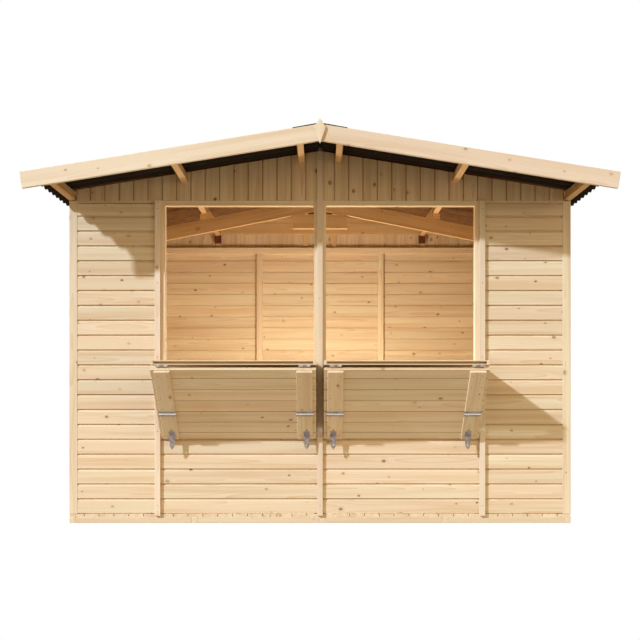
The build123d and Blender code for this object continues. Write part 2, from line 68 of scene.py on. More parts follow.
# ---------------------------------------------------------------- sizes and colours to change
def length(name, description, default, least=0.0):
    """A size in metres for the panel."""
    return bpy.props.FloatProperty(name=name, description=description, default=default,
                                   min=least, unit="LENGTH", precision=4)


def share(name, description, default, most=1.0):
    """A plain number for the panel."""
    return bpy.props.FloatProperty(name=name, description=description, default=default,
                                   min=0.0, max=most)


def colour(name, description, default):
    """A colour for the panel, in linear values."""
    return bpy.props.FloatVectorProperty(name=name, description=description, default=default,
                                         size=3, subtype="COLOR", min=0.0, max=1.0)


def angle(name, description, degrees):
    """An angle for the panel."""
    return bpy.props.FloatProperty(name=name, description=description,
                                   default=math.radians(degrees), subtype="ANGLE")


def place(name, description, default):
    """A point in metres for the panel."""
    return bpy.props.FloatVectorProperty(name=name, description=description, default=default,
                                         size=3, subtype="TRANSLATION")


class StallBoards(bpy.types.PropertyGroup):
    """Sizes of the boards and timbers."""

    cover: length("Board cover", "Height that each wall board covers", 0.0891, 0.02)
    course_low: length("First course", "Foot of the lowest wall board", 0.0580)
    slot: length("Slot", "Height of the open joint below a wall board's lip", 0.0052)
    cove_high: length("Cove height", "Height of the hollow along the top of a wall board", 0.0135)
    cove_deep: length("Cove depth", "Depth of that hollow", 0.009)
    lip: length("Lip", "Thickness of the lip at the foot of a wall board", 0.010)
    lap: length("Lap", "Height of the tongue behind the next board", 0.002)
    lath: length("Top lath", "Height of the strip along the top of a wall", 0.0195)
    recess: length("Recess", "Wall boards behind the face of the posts", 0.0018)
    gable_cover: length("Gable board", "Width that each gable board covers", 0.0858, 0.02)
    floor_cover: length("Floor board", "Width that each floor board covers", 0.0888, 0.02)
    hatch_cover: length("Hatch board", "Width that each hatch board covers", 0.0865, 0.02)
    gap: length("Gap", "Width of the open joint between tongued boards", 0.0042)
    gap_deep: length("Gap depth", "Depth of that joint", 0.008)
    gable_gap: length("Gable gap", "Width of the open joint between gable boards", 0.0068)
    gable_deep: length("Gable joint", "Depth of that joint", 0.0098)
    floor_deep: length("Floor joint", "Depth of the joint between floor boards", 0.014)
    arris: length("Arris", "Rounding of planed edges", 0.0016)
    floor_back: length("Floor set-back", "Floor board ends behind the walls", 0.003)
    cleat: length("Cleat", "Width of the strips across the counters' ends", 0.017)
    groove: length("Groove", "Depth of the groove along the counters' front edge", 0.03)
    counter_lip: length("Upper lip", "Height of the lip above that groove", 0.0062)
    counter_foot: length("Lower lip", "Height of the lip below that groove", 0.0065)
    brace_tilt: angle("Brace tilt", "Slope of the braces at rest", 46.3587)
    brace_drop: length("Brace drop", "How far the brace boards stop short of the hinge", 0.0065)
    sheet: length("Sheet", "Thickness of the roof sheets", 0.0024)
    knuckle: length("Knuckle", "Radius of the hinge knuckles", 0.0042)


class StallWood(bpy.types.PropertyGroup):
    """Colours and figure of the softwood."""

    pale: colour("Pale wood", "Colour of the early wood", (0.84, 0.72, 0.503))
    late: colour("Late wood", "Colour of the growth rings", (0.70, 0.47, 0.265))
    blush: colour("Blush", "Pinkish tone of some boards", (0.86, 0.66, 0.46))
    knot: colour("Knot", "Colour of the knots", (0.15, 0.062, 0.022))
    ring: length("Ring width", "Spacing of the growth rings", 0.0042, 0.0005)
    knots: share("Knots", "Share of the places for knots that have one", 0.75)
    knot_size: length("Knot size", "Radius of a middling knot", 0.0058)


class StallRoof(bpy.types.PropertyGroup):
    """Sizes and colours of the roof."""

    pitch: angle("Pitch", "Slope of the roof", 9.1)
    rafter_pitch: angle("Rafter pitch", "Slope of the truss", 11.1)
    waves: bpy.props.IntProperty(name="Waves", description="Waves from gable to gable",
                                 default=36, min=4)
    sheets: bpy.props.IntProperty(name="Sheets", description="Sheets on each slope",
                                  default=3, min=1)
    black: colour("Top", "Colour of the bitumen sheets", (0.020, 0.017, 0.016))
    soffit: colour("Underside", "Colour of their undersides outside", (0.022, 0.016, 0.012))
    # painted light: this browner colour stands in for bounce light in the room and is not the
    # bitumen's own colour
    ceiling_painted_glow: colour("Ceiling", "Colour of their undersides in the room", (0.155, 0.076, 0.032))


class StallStage(bpy.types.PropertyGroup):
    """Camera and studio light."""

    eye: length("Eye height", "Height of the camera", 0.747)
    stand_off: length("Stand-off", "Camera to the front wall", 5.75)
    lens: share("Lens", "Focal length in millimetres", 54.06, 300.0)
    rise: share("Rise", "Upward shift of the view", 0.122)
    key_place: place("Key place", "Where the key lamp stands", (-15.4, -13.5, 12.9))
    key_power: share("Key power", "Strength of the key lamp, the same at any distance", 48.5,
                     500.0)
    key_tint: colour("Key tint", "Colour of the key lamp", (0.67, 0.81, 1.0))
    key_soft: length("Key softness", "Radius of the key lamp", 0.42)
    side_place: place("Side place", "Where the soft lamp at the right stands", (7.0, -6.5, 2.2))
    side_power: share("Side power", "Strength of the soft lamp at the right", 360.0, 5000.0)
    side_tint: colour("Side tint", "Colour of the soft lamp at the right", (1.0, 0.86, 0.60))
    side_soft: length("Side softness", "Radius of the soft lamp at the right", 2.5)
    fill_power: share("Fill power", "Strength of the fill from behind", 1.2, 50.0)
    sky_power: share("Sky power", "Strength of the soft light", 0.78, 50.0)
    sky_tint: colour("Sky tint", "Colour of the soft light", (1.0, 0.79, 0.50))
    lamp_place: place("Lamp place", "Where the lamp inside hangs", (0.0, -0.15, 0.8))
    lamp_power: share("Lamp power", "Strength of the lamp inside", 42.0, 500.0)
    lamp_tint: colour("Lamp tint", "Colour of the lamp inside", (1.0, 0.97, 0.84))
    lamp_soft: length("Lamp softness", "Radius of the lamp inside", 0.12)
    floor_near: colour("Floor near", "Light that the floor by the stall throws up",
                       (0.61, 0.51, 0.375))
    floor_far: colour("Floor far", "Light that the floor farther off throws up",
                      (0.19, 0.145, 0.088))


def sizes():
    return bpy.context.scene.stall_boards


# ---------------------------------------------------------------- reading the frame
def solids(node):
    """The corners of each separate solid of a CAD node, one array of points for each.

    Vertices at one place count as one, and each solid is what its triangles join.
    """
    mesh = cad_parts[node].data
    mesh.calc_loop_triangles()
    points = np.empty(len(mesh.vertices) * 3, np.float32)
    mesh.vertices.foreach_get("co", points)
    corners = np.empty(len(mesh.loop_triangles) * 3, np.int32)
    mesh.loop_triangles.foreach_get("vertices", corners)
    points, same = np.unique(np.round(points.reshape(-1, 3).astype(float), 5), axis=0,
                             return_inverse=True)
    corners = same.ravel()[corners].reshape(-1, 3)
    label = np.arange(len(points))
    changed = True
    while changed:
        fresh = label.copy()
        np.minimum.at(fresh, corners, label[corners].min(1)[:, None])
        fresh = fresh[fresh]
        changed = bool((fresh != label).any())
        label = fresh
    return [points[label == k] for k in np.unique(label)]


def spread(points, axes=(X, Y, Z)):
    """Lowest and highest coordinates of some points along three axes."""
    seen = points @ np.array(axes).T
    return seen.min(0), seen.max(0)


def outline_of(points, across, out):
    """Corners of a convex solid seen along its length, in turn round their middle."""
    flat = np.unique(np.round(points @ np.array((across, out)).T, 5), axis=0)
    spokes = flat - flat.mean(0)
    return flat[np.argsort(np.arctan2(spokes[:, 1], spokes[:, 0]))]


def corner(node, high, axis):
    """One coordinate of a CAD node's lowest or highest corner."""
    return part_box(node)[high][axis]


def roof_axes(side, slope):
    """Along the ridge, down the slope, and square to it, on one side of the roof."""
    return (Y, np.array((side * math.cos(slope), 0, -math.sin(slope))),
            np.array((side * math.sin(slope), 0, math.cos(slope))))


def brace_axes(tilt):
    """Along the counter, down its brace, and out of the brace's outer face."""
    return (X, np.array((0, math.cos(tilt), -math.sin(tilt))),
            np.array((0, -math.sin(tilt), -math.cos(tilt))))


# ---------------------------------------------------------------- boards as carried profiles
def eased(outline, soft):
    """The outline with each corner cut across, at that distance along both of its edges."""
    before = np.roll(outline, 1, 0) - outline
    after = np.roll(outline, -1, 0) - outline
    before /= np.linalg.norm(before, axis=1, keepdims=True)
    after /= np.linalg.norm(after, axis=1, keepdims=True)
    soft = np.broadcast_to(soft, len(outline))[:, None]
    return np.stack((outline + soft * before, outline + soft * after), 1).reshape(-1, 2)


def lapped(low, high, back, face, foot, tongue):
    """Outline of a lapped wall board that covers from low to high.

    Its front curves back towards the top as a parabola, down to an open slot below the next
    board's lip. A tongue rises behind that lip, and a rebate behind its own lip takes the
    tongue below. A board cut along its top has no tongue, and one cut along its foot has no
    rebate.
    """
    s = sizes()
    soft = 0.001
    lip = face - s.lip
    clear = 0.0008
    behind = lip - clear
    heel = low + s.lap + s.slot
    rise = np.linspace(0, 1, 7)
    shoulder = high - s.slot
    cove = np.stack((shoulder - s.cove_high * (1 - rise), face - s.cove_deep * rise ** 2), 1)
    if tongue > 0:
        top = [(high + tongue - soft, back), (high + tongue, back + soft),
               (high + tongue, behind), (shoulder, behind), *cove[::-1]]
    else:
        top = [(high - soft, back), (high, back + soft), (high, face - soft),
               (high - soft, face)]
    if foot:
        under = [(low + SAWN, face), (low, face - SAWN), (low, lip), (heel, lip),
                 (heel, back + soft), (heel + soft, back)]
    else:
        under = [(low + soft, face), (low, face - soft), (low, back + soft),
                 (low + soft, back)]
    return np.array(top + under)


def tongued_board(a0, a1, back, face, gap, deep, rear=0.0):
    """Outline of a tongued board, with half an open joint cut along the front of each edge.

    A rear depth cuts the same joint into its back.
    """
    soft = SAWN
    half = gap / 2
    front = [(a1 + SLACK, face - deep), (a1 - half, face - deep), (a1 - half, face - soft),
             (a1 - half - soft, face), (a0 + half + soft, face), (a0 + half, face - soft),
             (a0 + half, face - deep), (a0 - SLACK, face - deep)]
    if rear:
        behind = [(a0 - SLACK, back + rear), (a0 + half, back + rear), (a0 + half, back),
                  (a1 - half, back), (a1 - half, back + rear), (a1 + SLACK, back + rear)]
    else:
        behind = [(a0 - SLACK, back + soft), (a0 + soft, back), (a1 - soft, back),
                  (a1 + SLACK, back + soft)]
    return np.array(front + behind)


class Pile:
    """Boards gathered into one mesh, each with its own stretch of grain and its own tone."""

    def __init__(self, seed):
        self.dice = np.random.default_rng(seed)
        self.points = []
        self.faces = []
        self.grain = []
        self.tone = []
        self.count = 0

    def run(self, outline, low, high, axes, cuts=(0.0, 0.0), soft=None, order=(0, 1, 2),
            like=None):
        """A closed outline carried straight from low to high along the first axis.

        Every station repeats the outline, drawn in a little at both ends. An end moves along
        by its cut times the second coordinate, which cuts it askew. The grain runs along the
        coordinate that comes first in the order. Gives the grain's place and the tone, for
        another run that goes on in the same board.
        """
        outline = np.asarray(outline, float)
        if np.dot(np.cross(axes[1], axes[2]), axes[0]) < 0:
            outline = outline[::-1]
        soft = sizes().arris * 0.6 if soft is None else soft
        middle = (outline.max(0) + outline.min(0)) / 2
        half = (outline.max(0) - outline.min(0)) / 2
        draw = 1 - np.outer((1, 0, 0, 1), soft / half)
        rings = middle + (outline - middle) * draw[:, None]
        steps = np.array((low, low + soft, high - soft, high))
        skew = np.array((cuts[0], cuts[0], cuts[1], cuts[1]))
        t = steps[:, None] + skew[:, None] * rings[..., 0]
        local = np.concatenate((t[..., None], rings), -1)
        n = len(outline)
        k = np.arange(n)
        base = self.count + np.arange(3)[:, None] * n
        quads = np.stack((base + k, base + (k + 1) % n, base + (k + 1) % n + n, base + k + n), -1)
        self.faces += quads.reshape(-1, 4).tolist()
        self.faces.append((self.count + k[::-1]).tolist())
        self.faces.append((self.count + 3 * n + k).tolist())
        self.points.append((local @ np.array(axes)).reshape(-1, 3))
        local = local.reshape(-1, 3)[:, order]
        if like is None:
            place = self.dice.uniform((0, -0.06, 0.025), (90, 0.06, 0.10))
            place[2] *= self.dice.choice((-1, 1))
            place[1:] -= (local.max(0) + local.min(0))[1:] / 2
            like = place, self.dice.uniform()
        self.grain.append(local + like[0])
        self.tone.append(np.full(4 * n, like[1]))
        self.count += 4 * n
        return like

    def timber(self, points, axes=(X, Y, Z), soft=None):
        """A square timber that fills the points' box, with its grain along its longest side."""
        soft = sizes().arris if soft is None else soft
        low, high = spread(points, axes)
        i, j, k = np.argsort(low - high)
        box = np.array([(low[j], low[k]), (high[j], low[k]), (high[j], high[k]),
                        (low[j], high[k])])
        self.run(eased(box, soft), low[i], high[i], (axes[i], axes[j], axes[k]), soft=soft)

    def slab(self, points, axes, order=(1, 2, 0), soft=None):
        """A convex solid of even thickness along the first axis, with its edges eased."""
        soft = sizes().arris if soft is None else soft
        low, high = spread(points, axes)
        outline = outline_of(points, axes[1], axes[2])
        self.run(eased(outline, soft), low[0], high[0], axes, soft=soft, order=order)

    def piece(self, name, look, body, slot, *nodes):
        """The pile as a finished object that rides on a body and stands for its nodes."""
        mesh = bpy.data.meshes.new(name)
        mesh.from_pydata(np.concatenate(self.points), [], self.faces)
        grain = mesh.attributes.new("grain", "FLOAT_VECTOR", "POINT")
        grain.data.foreach_set("vector", np.concatenate(self.grain).astype(np.float32).ravel())
        tone = mesh.attributes.new("tone", "FLOAT", "POINT")
        tone.data.foreach_set("value", np.concatenate(self.tone).astype(np.float32))
        return settle(name, mesh, [look], body, slot, *nodes)


def settle(name, mesh, looks, body, slot, *nodes):
    """Links a mesh as a piece of the stall, and says what it rides on and stands for."""
    for look in looks:
        mesh.materials.append(finish(look))
    made = bpy.data.objects.new(name, mesh)
    bpy.context.scene.collection.objects.link(made)
    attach(made, body)
    if nodes:
        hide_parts(*nodes)
    return made


def courses(pile, low, high, bottom, top, axes, back, face):
    """Lapped boards one above the other, from low to high along a wall."""
    s = sizes()
    k = max(0, math.floor((bottom - s.course_low) / s.cover + 0.05))
    while s.course_low + k * s.cover < top - 2 * NEAR:
        foot = s.course_low + k * s.cover
        outline = lapped(max(foot, bottom), min(foot + s.cover, top), back, face,
                         foot > bottom - 3 * NEAR, min(s.lap, top - foot - s.cover))
        pile.run(outline, low, high, axes, soft=DRAWN)
        k += 1


def wall(pile, node, axes, joints=(), lath=True):
    """Lapped boards that fill a CAD node's box, in lengths that meet at the joints."""
    s = sizes()
    for points in solids(node):
        low, high = spread(points, axes)
        top = high[1] - s.lath if lath else high[1]
        marks = [low[0]] + [x for j in joints for x in (j - SLACK, j + SLACK)] + [high[0]]
        for start, end in zip(marks[::2], marks[1::2]):
            courses(pile, start, end, low[1], top, axes, low[2], high[2] - s.recess)
            if lath:
                strip(pile, start, end, axes, top, high[1], low[2], high[2] - s.recess)


def strip(pile, start, end, axes, bottom, top, back, face):
    """The lath along a wall's top, over an open joint."""
    s = sizes()
    outline = np.array([(bottom - SLACK, back), (top, back), (top, face),
                        (bottom + s.slot, face), (bottom + s.slot, face - s.cove_deep),
                        (bottom - SLACK, face - s.cove_deep)])
    pile.run(outline, start, end, axes, soft=SAWN)


def lanes(across, cover, start):
    """Edges of the boards that fill the width across, counted from start."""
    first = math.floor((across[0] - start) / cover + 1e-4)
    last = math.ceil((across[1] - start) / cover - 1e-4)
    return [(max(across[0], start + k * cover), min(across[1], start + (k + 1) * cover))
            for k in range(first, last)]


def tongued(pile, low, high, axes, across, back, face, cover, start, deep=None):
    """Boards side by side with open joints, counted from start, cut to the width across."""
    s = sizes()
    deep = min(deep or s.gap_deep, (face - back) * 0.85)
    for a0, a1 in lanes(across, cover, start):
        pile.run(tongued_board(a0, a1, back, face, s.gap, deep), low, high, axes, soft=DRAWN)


class Heads:
    """Heads of screws, bolts and nails gathered into one mesh."""

    def __init__(self):
        self.centres = []
        self.outs = []
        self.sizes = []

    def add(self, centre, out, radius=0.0036, height=0.0011):
        """One head on a surface at its centre, standing out by its height."""
        self.centres.append(centre)
        self.outs.append(out)
        self.sizes.append((radius, height))

    def row(self, start, end, count, out, radius=0.0036, height=0.0011):
        """Heads spaced evenly from start to end."""
        for t in np.linspace(0, 1, count):
            self.add(np.asarray(start) * (1 - t) + np.asarray(end) * t, out, radius, height)

    def piece(self, name, look, body, slot, around=8):
        """Low domes as surfaces of revolution.

        A head's radius shrinks with the cosine and its height grows with the sine of an angle
        that climbs from its rim to its top.
        """
        centres, outs = np.array(self.centres, float), np.array(self.outs, float)
        radius, height = np.array(self.sizes).T
        aside = np.where(np.abs(outs[:, :1]) > 0.9, Y, X)
        across = np.cross(outs, aside)
        across /= np.linalg.norm(across, axis=1, keepdims=True)
        along = np.cross(outs, across)
        turn = np.arange(around) * 2 * math.pi / around
        climb = np.array((0, 0.6, 1.2))
        spin = (np.cos(turn)[None, :, None] * across[:, None]
                + np.sin(turn)[None, :, None] * along[:, None])
        rings = (centres[:, None, None]
                 + spin[:, None] * (radius[:, None] * np.cos(climb))[..., None, None]
                 + outs[:, None, None] * (height[:, None] * np.sin(climb))[..., None, None])
        count, levels = len(centres), len(climb)
        points = rings.reshape(-1, 3)
        k = np.arange(around)
        base = (np.arange(count) * levels * around)[:, None, None] + np.arange(levels - 1)[
            None, :, None] * around
        quads = np.stack((base + k, base + (k + 1) % around, base + (k + 1) % around + around,
                          base + k + around), -1).reshape(-1, 4)
        start = np.arange(count)[:, None] * levels * around
        foot = start + k[::-1]
        top = start + (levels - 1) * around + k
        mesh = bpy.data.meshes.new(name)
        mesh.from_pydata(points, [], quads.tolist() + foot.tolist() + top.tolist())
        mesh.shade_smooth()
        mesh.set_sharp_from_angle(angle=SMOOTH)
        return settle(name, mesh, [look], body, slot)


# ---------------------------------------------------------------- shader helpers
class Wiring:
    """Adds nodes to a tree and joins them, so that a formula reads from left to right."""

    def __init__(self, tree):
        self.tree = tree

    def add(self, kind, *values, **settings):
        made = self.tree.nodes.new("ShaderNode" + kind)
        named = {k[3:].replace("_", " "): v for k, v in settings.items() if k.startswith("in_")}
        for key, value in settings.items():
            if not key.startswith("in_"):
                setattr(made, key, value)
        for place, value in list(enumerate(values)) + list(named.items()):
            if isinstance(value, bpy.types.NodeSocket):
                self.tree.links.new(value, made.inputs[place])
            elif value is not None:
                made.inputs[place].default_value = value
        return made

    def math(self, operation, *values):
        return self.add("Math", *values, operation=operation).outputs[0]

    def vector(self, operation, *values):
        return self.add("VectorMath", *values, operation=operation).outputs[0]

    def reach(self, value):
        return self.add("VectorMath", value, operation="LENGTH").outputs["Value"]

    def mix(self, amount, first, second, blend="MIX"):
        made = self.add("Mix", data_type="RGBA", blend_type=blend)
        for place, value in ((0, amount), (6, first), (7, second)):
            if isinstance(value, bpy.types.NodeSocket):
                self.tree.links.new(value, made.inputs[place])
            else:
                made.inputs[place].default_value = value
        return made.outputs[2]

    def ramp(self, value, low, high, to_low=0.0, to_high=1.0):
        return self.add("MapRange", value, low, high, to_low, to_high,
                        interpolation_type="SMOOTHSTEP").outputs[0]

    def noise(self, place, scale, detail=2.0):
        return self.add("TexNoise", in_Vector=place, in_Scale=scale, in_Detail=detail).outputs[0]

    def stretch(self, place, *factors):
        return self.vector("MULTIPLY", place, factors)

    def join(self, source, target):
        self.tree.links.new(source, target)


def group(name, takes, gives):
    """An empty shader group with named inputs and outputs, and its wiring."""
    tree = bpy.data.node_groups.new(name, "ShaderNodeTree")
    for title, kind, value in takes:
        socket = tree.interface.new_socket(name=title, in_out="INPUT",
                                           socket_type="NodeSocket" + kind)
        if value is not None:
            socket.default_value = value
    for title, kind in gives:
        tree.interface.new_socket(name=title, in_out="OUTPUT", socket_type="NodeSocket" + kind)
    return tree, Wiring(tree), tree.nodes.new("NodeGroupInput"), tree.nodes.new("NodeGroupOutput")


def rgba(value):
    return (*value, 1.0)


def softwood_group():
    """Solid softwood: rings round a pith that runs along the board, streaks, and knots.

    The ring distance is the distance from the pith line, pushed about by slow noise and
    round the knots. Knots are the middles of stretched cells, some of them left empty.
    """
    w = bpy.context.scene.stall_wood
    tree, n, take, give = group(
        "softwood figure",
        [("Grain", "Vector", None), ("Tone", "Float", 0.5), ("Pale", "Color", rgba(w.pale)),
         ("Late", "Color", rgba(w.late)), ("Blush", "Color", rgba(w.blush)),
         ("Knot", "Color", rgba(w.knot)), ("Ring Width", "Float", w.ring),
         ("Knots", "Float", w.knots), ("Knot Size", "Float", w.knot_size),
         ("Contrast", "Float", 1.0)],
        [("Color", "Color"), ("Roughness", "Float"), ("Height", "Float")])
    grain, tone = take.outputs["Grain"], take.outputs["Tone"]
    cells = (3.4, 13.0, 0.0)
    laid = n.stretch(grain, *cells)
    cell = n.add("TexVoronoi", in_Vector=laid, in_Scale=1.0, voronoi_dimensions="2D")
    gap = n.vector("SUBTRACT", laid, cell.outputs["Position"])
    gap = n.stretch(gap, 0.72 / cells[0], 1 / cells[1], 0.0)
    wobble = n.noise(grain, 120.0, 1.0)
    near = n.math("MULTIPLY", n.reach(gap), n.math("ADD", n.math("MULTIPLY", wobble, 0.7), 0.65))
    chance = n.add("SeparateColor", cell.outputs["Color"]).outputs
    there = n.math("LESS_THAN", chance[0], take.outputs["Knots"])
    radius = n.math("MULTIPLY", take.outputs["Knot Size"],
                    n.math("ADD", chance[1], 0.4))
    ratio = n.math("DIVIDE", near, radius)
    depth = n.math("MULTIPLY", there, n.math("SUBTRACT", 1.0, n.math("MULTIPLY", chance[2], 0.65)))
    core = n.math("MULTIPLY", n.ramp(ratio, 0.70, 1.15, 1.0, 0.0), depth)
    rim = n.math("MULTIPLY", n.math("MULTIPLY", n.ramp(ratio, 0.7, 0.95),
                                    n.ramp(ratio, 1.0, 1.25, 1.0, 0.0)), depth)
    halo = n.math("MULTIPLY", n.ramp(ratio, 0.9, 3.2, 1.0, 0.0), there)
    slow = n.add("TexNoise", in_Vector=n.stretch(grain, 1.1, 5.0, 5.0), in_Scale=1.0,
                 in_Detail=1.0).outputs["Color"]
    pushed = n.vector("ADD", grain, n.stretch(n.vector("SUBTRACT", slow, (0.5, 0.5, 0.5)),
                                              0.0, 0.035, 0.035))
    pith = n.math("ADD", n.reach(n.stretch(pushed, 0.0, 1.0, 1.0)),
                  n.math("MULTIPLY", halo, 0.006))
    ring = n.math("POWER", n.math("FRACT", n.math("DIVIDE", pith, take.outputs["Ring Width"])), 2.5)
    broad = n.noise(n.stretch(grain, 0.8, 26.0, 26.0), 1.0, 3.0)
    fine = n.noise(n.stretch(grain, 9.0, 420.0, 420.0), 1.0, 2.0)
    patch = n.noise(n.stretch(grain, 1.6, 9.0, 9.0), 1.0, 2.0)
    late = n.math("ADD", n.math("MULTIPLY", ring, 0.40),
                  n.math("MULTIPLY", n.ramp(broad, 0.38, 0.72), 0.42))
    late = n.math("MULTIPLY", n.math("ADD", late, n.math("MULTIPLY", fine, 0.10)),
                  take.outputs["Contrast"])
    wood = n.mix(late, take.outputs["Pale"], take.outputs["Late"])
    blush = n.math("MULTIPLY", n.ramp(n.math("ADD", n.math("MULTIPLY", tone, 0.6),
                                             n.math("MULTIPLY", patch, 0.7)), 0.35, 1.0), 0.75)
    wood = n.mix(blush, wood, n.mix(late, take.outputs["Blush"], take.outputs["Late"]))
    shade = n.math("ADD", n.math("MULTIPLY", n.math("FRACT", n.math("MULTIPLY", tone, 7.31)),
                                 0.10), 0.90)
    wood = n.mix(1.0, wood, n.add("CombineColor", shade, shade, shade).outputs[0], "MULTIPLY")
    wood = n.mix(n.math("MULTIPLY", halo, 0.38), wood, take.outputs["Late"])
    burnt = n.mix(0.45, take.outputs["Knot"], take.outputs["Late"])
    wood = n.mix(n.math("MULTIPLY", core, 0.82), wood,
                 n.mix(n.math("MULTIPLY", chance[2], 0.8), take.outputs["Knot"], burnt))
    wood = n.mix(n.math("MULTIPLY", rim, 0.55), wood, take.outputs["Knot"])
    n.join(wood, give.inputs["Color"])
    rough = n.math("SUBTRACT", n.math("ADD", n.math("MULTIPLY", broad, 0.18), 0.55),
                   n.math("MULTIPLY", core, 0.15))
    n.join(rough, give.inputs["Roughness"])
    height = n.math("ADD", n.math("MULTIPLY", ring, -0.5), n.math("MULTIPLY", fine, 0.5))
    height = n.math("ADD", height, n.math("MULTIPLY", core, 0.6))
    n.join(height, give.inputs["Height"])
    return tree


def mottle_group():
    """Cloudy variation at two sizes, for metal and bitumen: a colour mask, gloss and height."""
    tree, n, take, give = group(
        "mottled surface",
        [("Place", "Vector", None), ("Size", "Float", 60.0), ("Dark", "Color", None),
         ("Bright", "Color", None), ("Least Roughness", "Float", 0.3),
         ("Most Roughness", "Float", 0.5)],
        [("Color", "Color"), ("Roughness", "Float"), ("Height", "Float")])
    place, size = take.outputs["Place"], take.outputs["Size"]
    cloud = n.noise(place, size, 4.0)
    speck = n.noise(place, n.math("MULTIPLY", size, 9.0), 2.0)
    mask = n.ramp(n.math("ADD", n.math("MULTIPLY", cloud, 0.7), n.math("MULTIPLY", speck, 0.3)),
                  0.3, 0.7)
    n.join(n.mix(mask, take.outputs["Dark"], take.outputs["Bright"]), give.inputs["Color"])
    rough = n.add("MapRange", mask, 0.0, 1.0, take.outputs["Least Roughness"],
                  take.outputs["Most Roughness"]).outputs[0]
    n.join(rough, give.inputs["Roughness"])
    height = n.math("ADD", n.math("MULTIPLY", cloud, 0.4), n.math("MULTIPLY", speck, 0.6))
    n.join(height, give.inputs["Height"])
    return tree


def finish_of(name, tree, values, relief, gloss, metal=0.0, feeds=()):
    """A material that lays one shader group over a Principled surface."""
    material = bpy.data.materials.new(name)
    material.use_nodes = True
    n = Wiring(material.node_tree)
    surface = material.node_tree.nodes["Principled BSDF"]
    look = material.node_tree.nodes.new("ShaderNodeGroup")
    look.node_tree = tree
    for key, value in values.items():
        look.inputs[key].default_value = value
    for key, attribute in feeds:
        source = n.add("Attribute", attribute_name=attribute)
        output = "Vector" if look.inputs[key].type == "VECTOR" else "Fac"
        n.join(source.outputs[output], look.inputs[key])
    n.join(look.outputs["Color"], surface.inputs["Base Color"])
    n.join(look.outputs["Roughness"], surface.inputs["Roughness"])
    bump = n.add("Bump", in_Height=look.outputs["Height"], in_Distance=relief, in_Strength=1.0)
    n.join(bump.outputs[0], surface.inputs["Normal"])
    surface.inputs["Specular IOR Level"].default_value = gloss
    surface.inputs["Metallic"].default_value = metal
    return material, look


def wood(name, **values):
    """A softwood finish: the shared figure with this finish's own values."""
    tree = bpy.data.node_groups.get("softwood figure") or softwood_group()
    named = {k.replace("_", " "): v for k, v in values.items()}
    material, _ = finish_of(name, tree, named, 0.0004, 0.25,
                            feeds=(("Grain", "grain"), ("Tone", "tone")))
    return material


def mottled(name, relief, gloss, metal=0.0, **values):
    """A mottled finish on Object coordinates."""
    tree = bpy.data.node_groups.get("mottled surface") or mottle_group()
    named = {k.replace("_", " "): v for k, v in values.items()}
    material, look = finish_of(name, tree, named, relief, gloss, metal)
    n = Wiring(material.node_tree)
    n.join(n.add("TexCoord").outputs["Object"], look.inputs["Place"])
    return material


def underside(name):
    """Bitumen from below: near black under the overhangs, and browner over the room, where the
    brown is a painted glow that stands in for bounce light.
    """
    roof = bpy.context.scene.stall_roof
    material = mottled(name, 0.0006, 0.1, Size=18.0, Least_Roughness=0.85, Most_Roughness=0.95)
    n = Wiring(material.node_tree)
    look = next(node for node in n.tree.nodes if node.type == "GROUP")
    place = n.add("SeparateXYZ", n.add("TexCoord").outputs["Object"])
    room = (("X", corner("right_wall", 0, 0)), ("Y", corner("back_gable", 0, 1)))
    beyond = [n.ramp(n.math("ABSOLUTE", place.outputs[axis]), wall, wall + 0.01)
              for axis, wall in room]
    outside = n.math("MAXIMUM", *beyond)
    # over the room the colour shifts to the painted glow; outside the room it stays the bitumen's
    # near black
    for socket, lift in (("Dark", 1.0), ("Bright", 1.4)):
        inner, outer = (tuple(lift * v for v in shade) for shade in (roof.ceiling_painted_glow, roof.soffit))
        n.join(n.mix(outside, rgba(inner), rgba(outer)), look.inputs[socket])
    return material


def finish(name):
    """The material of that name, made when it is first asked for."""
    return bpy.data.materials.get(name) or FINISHES[name](name)


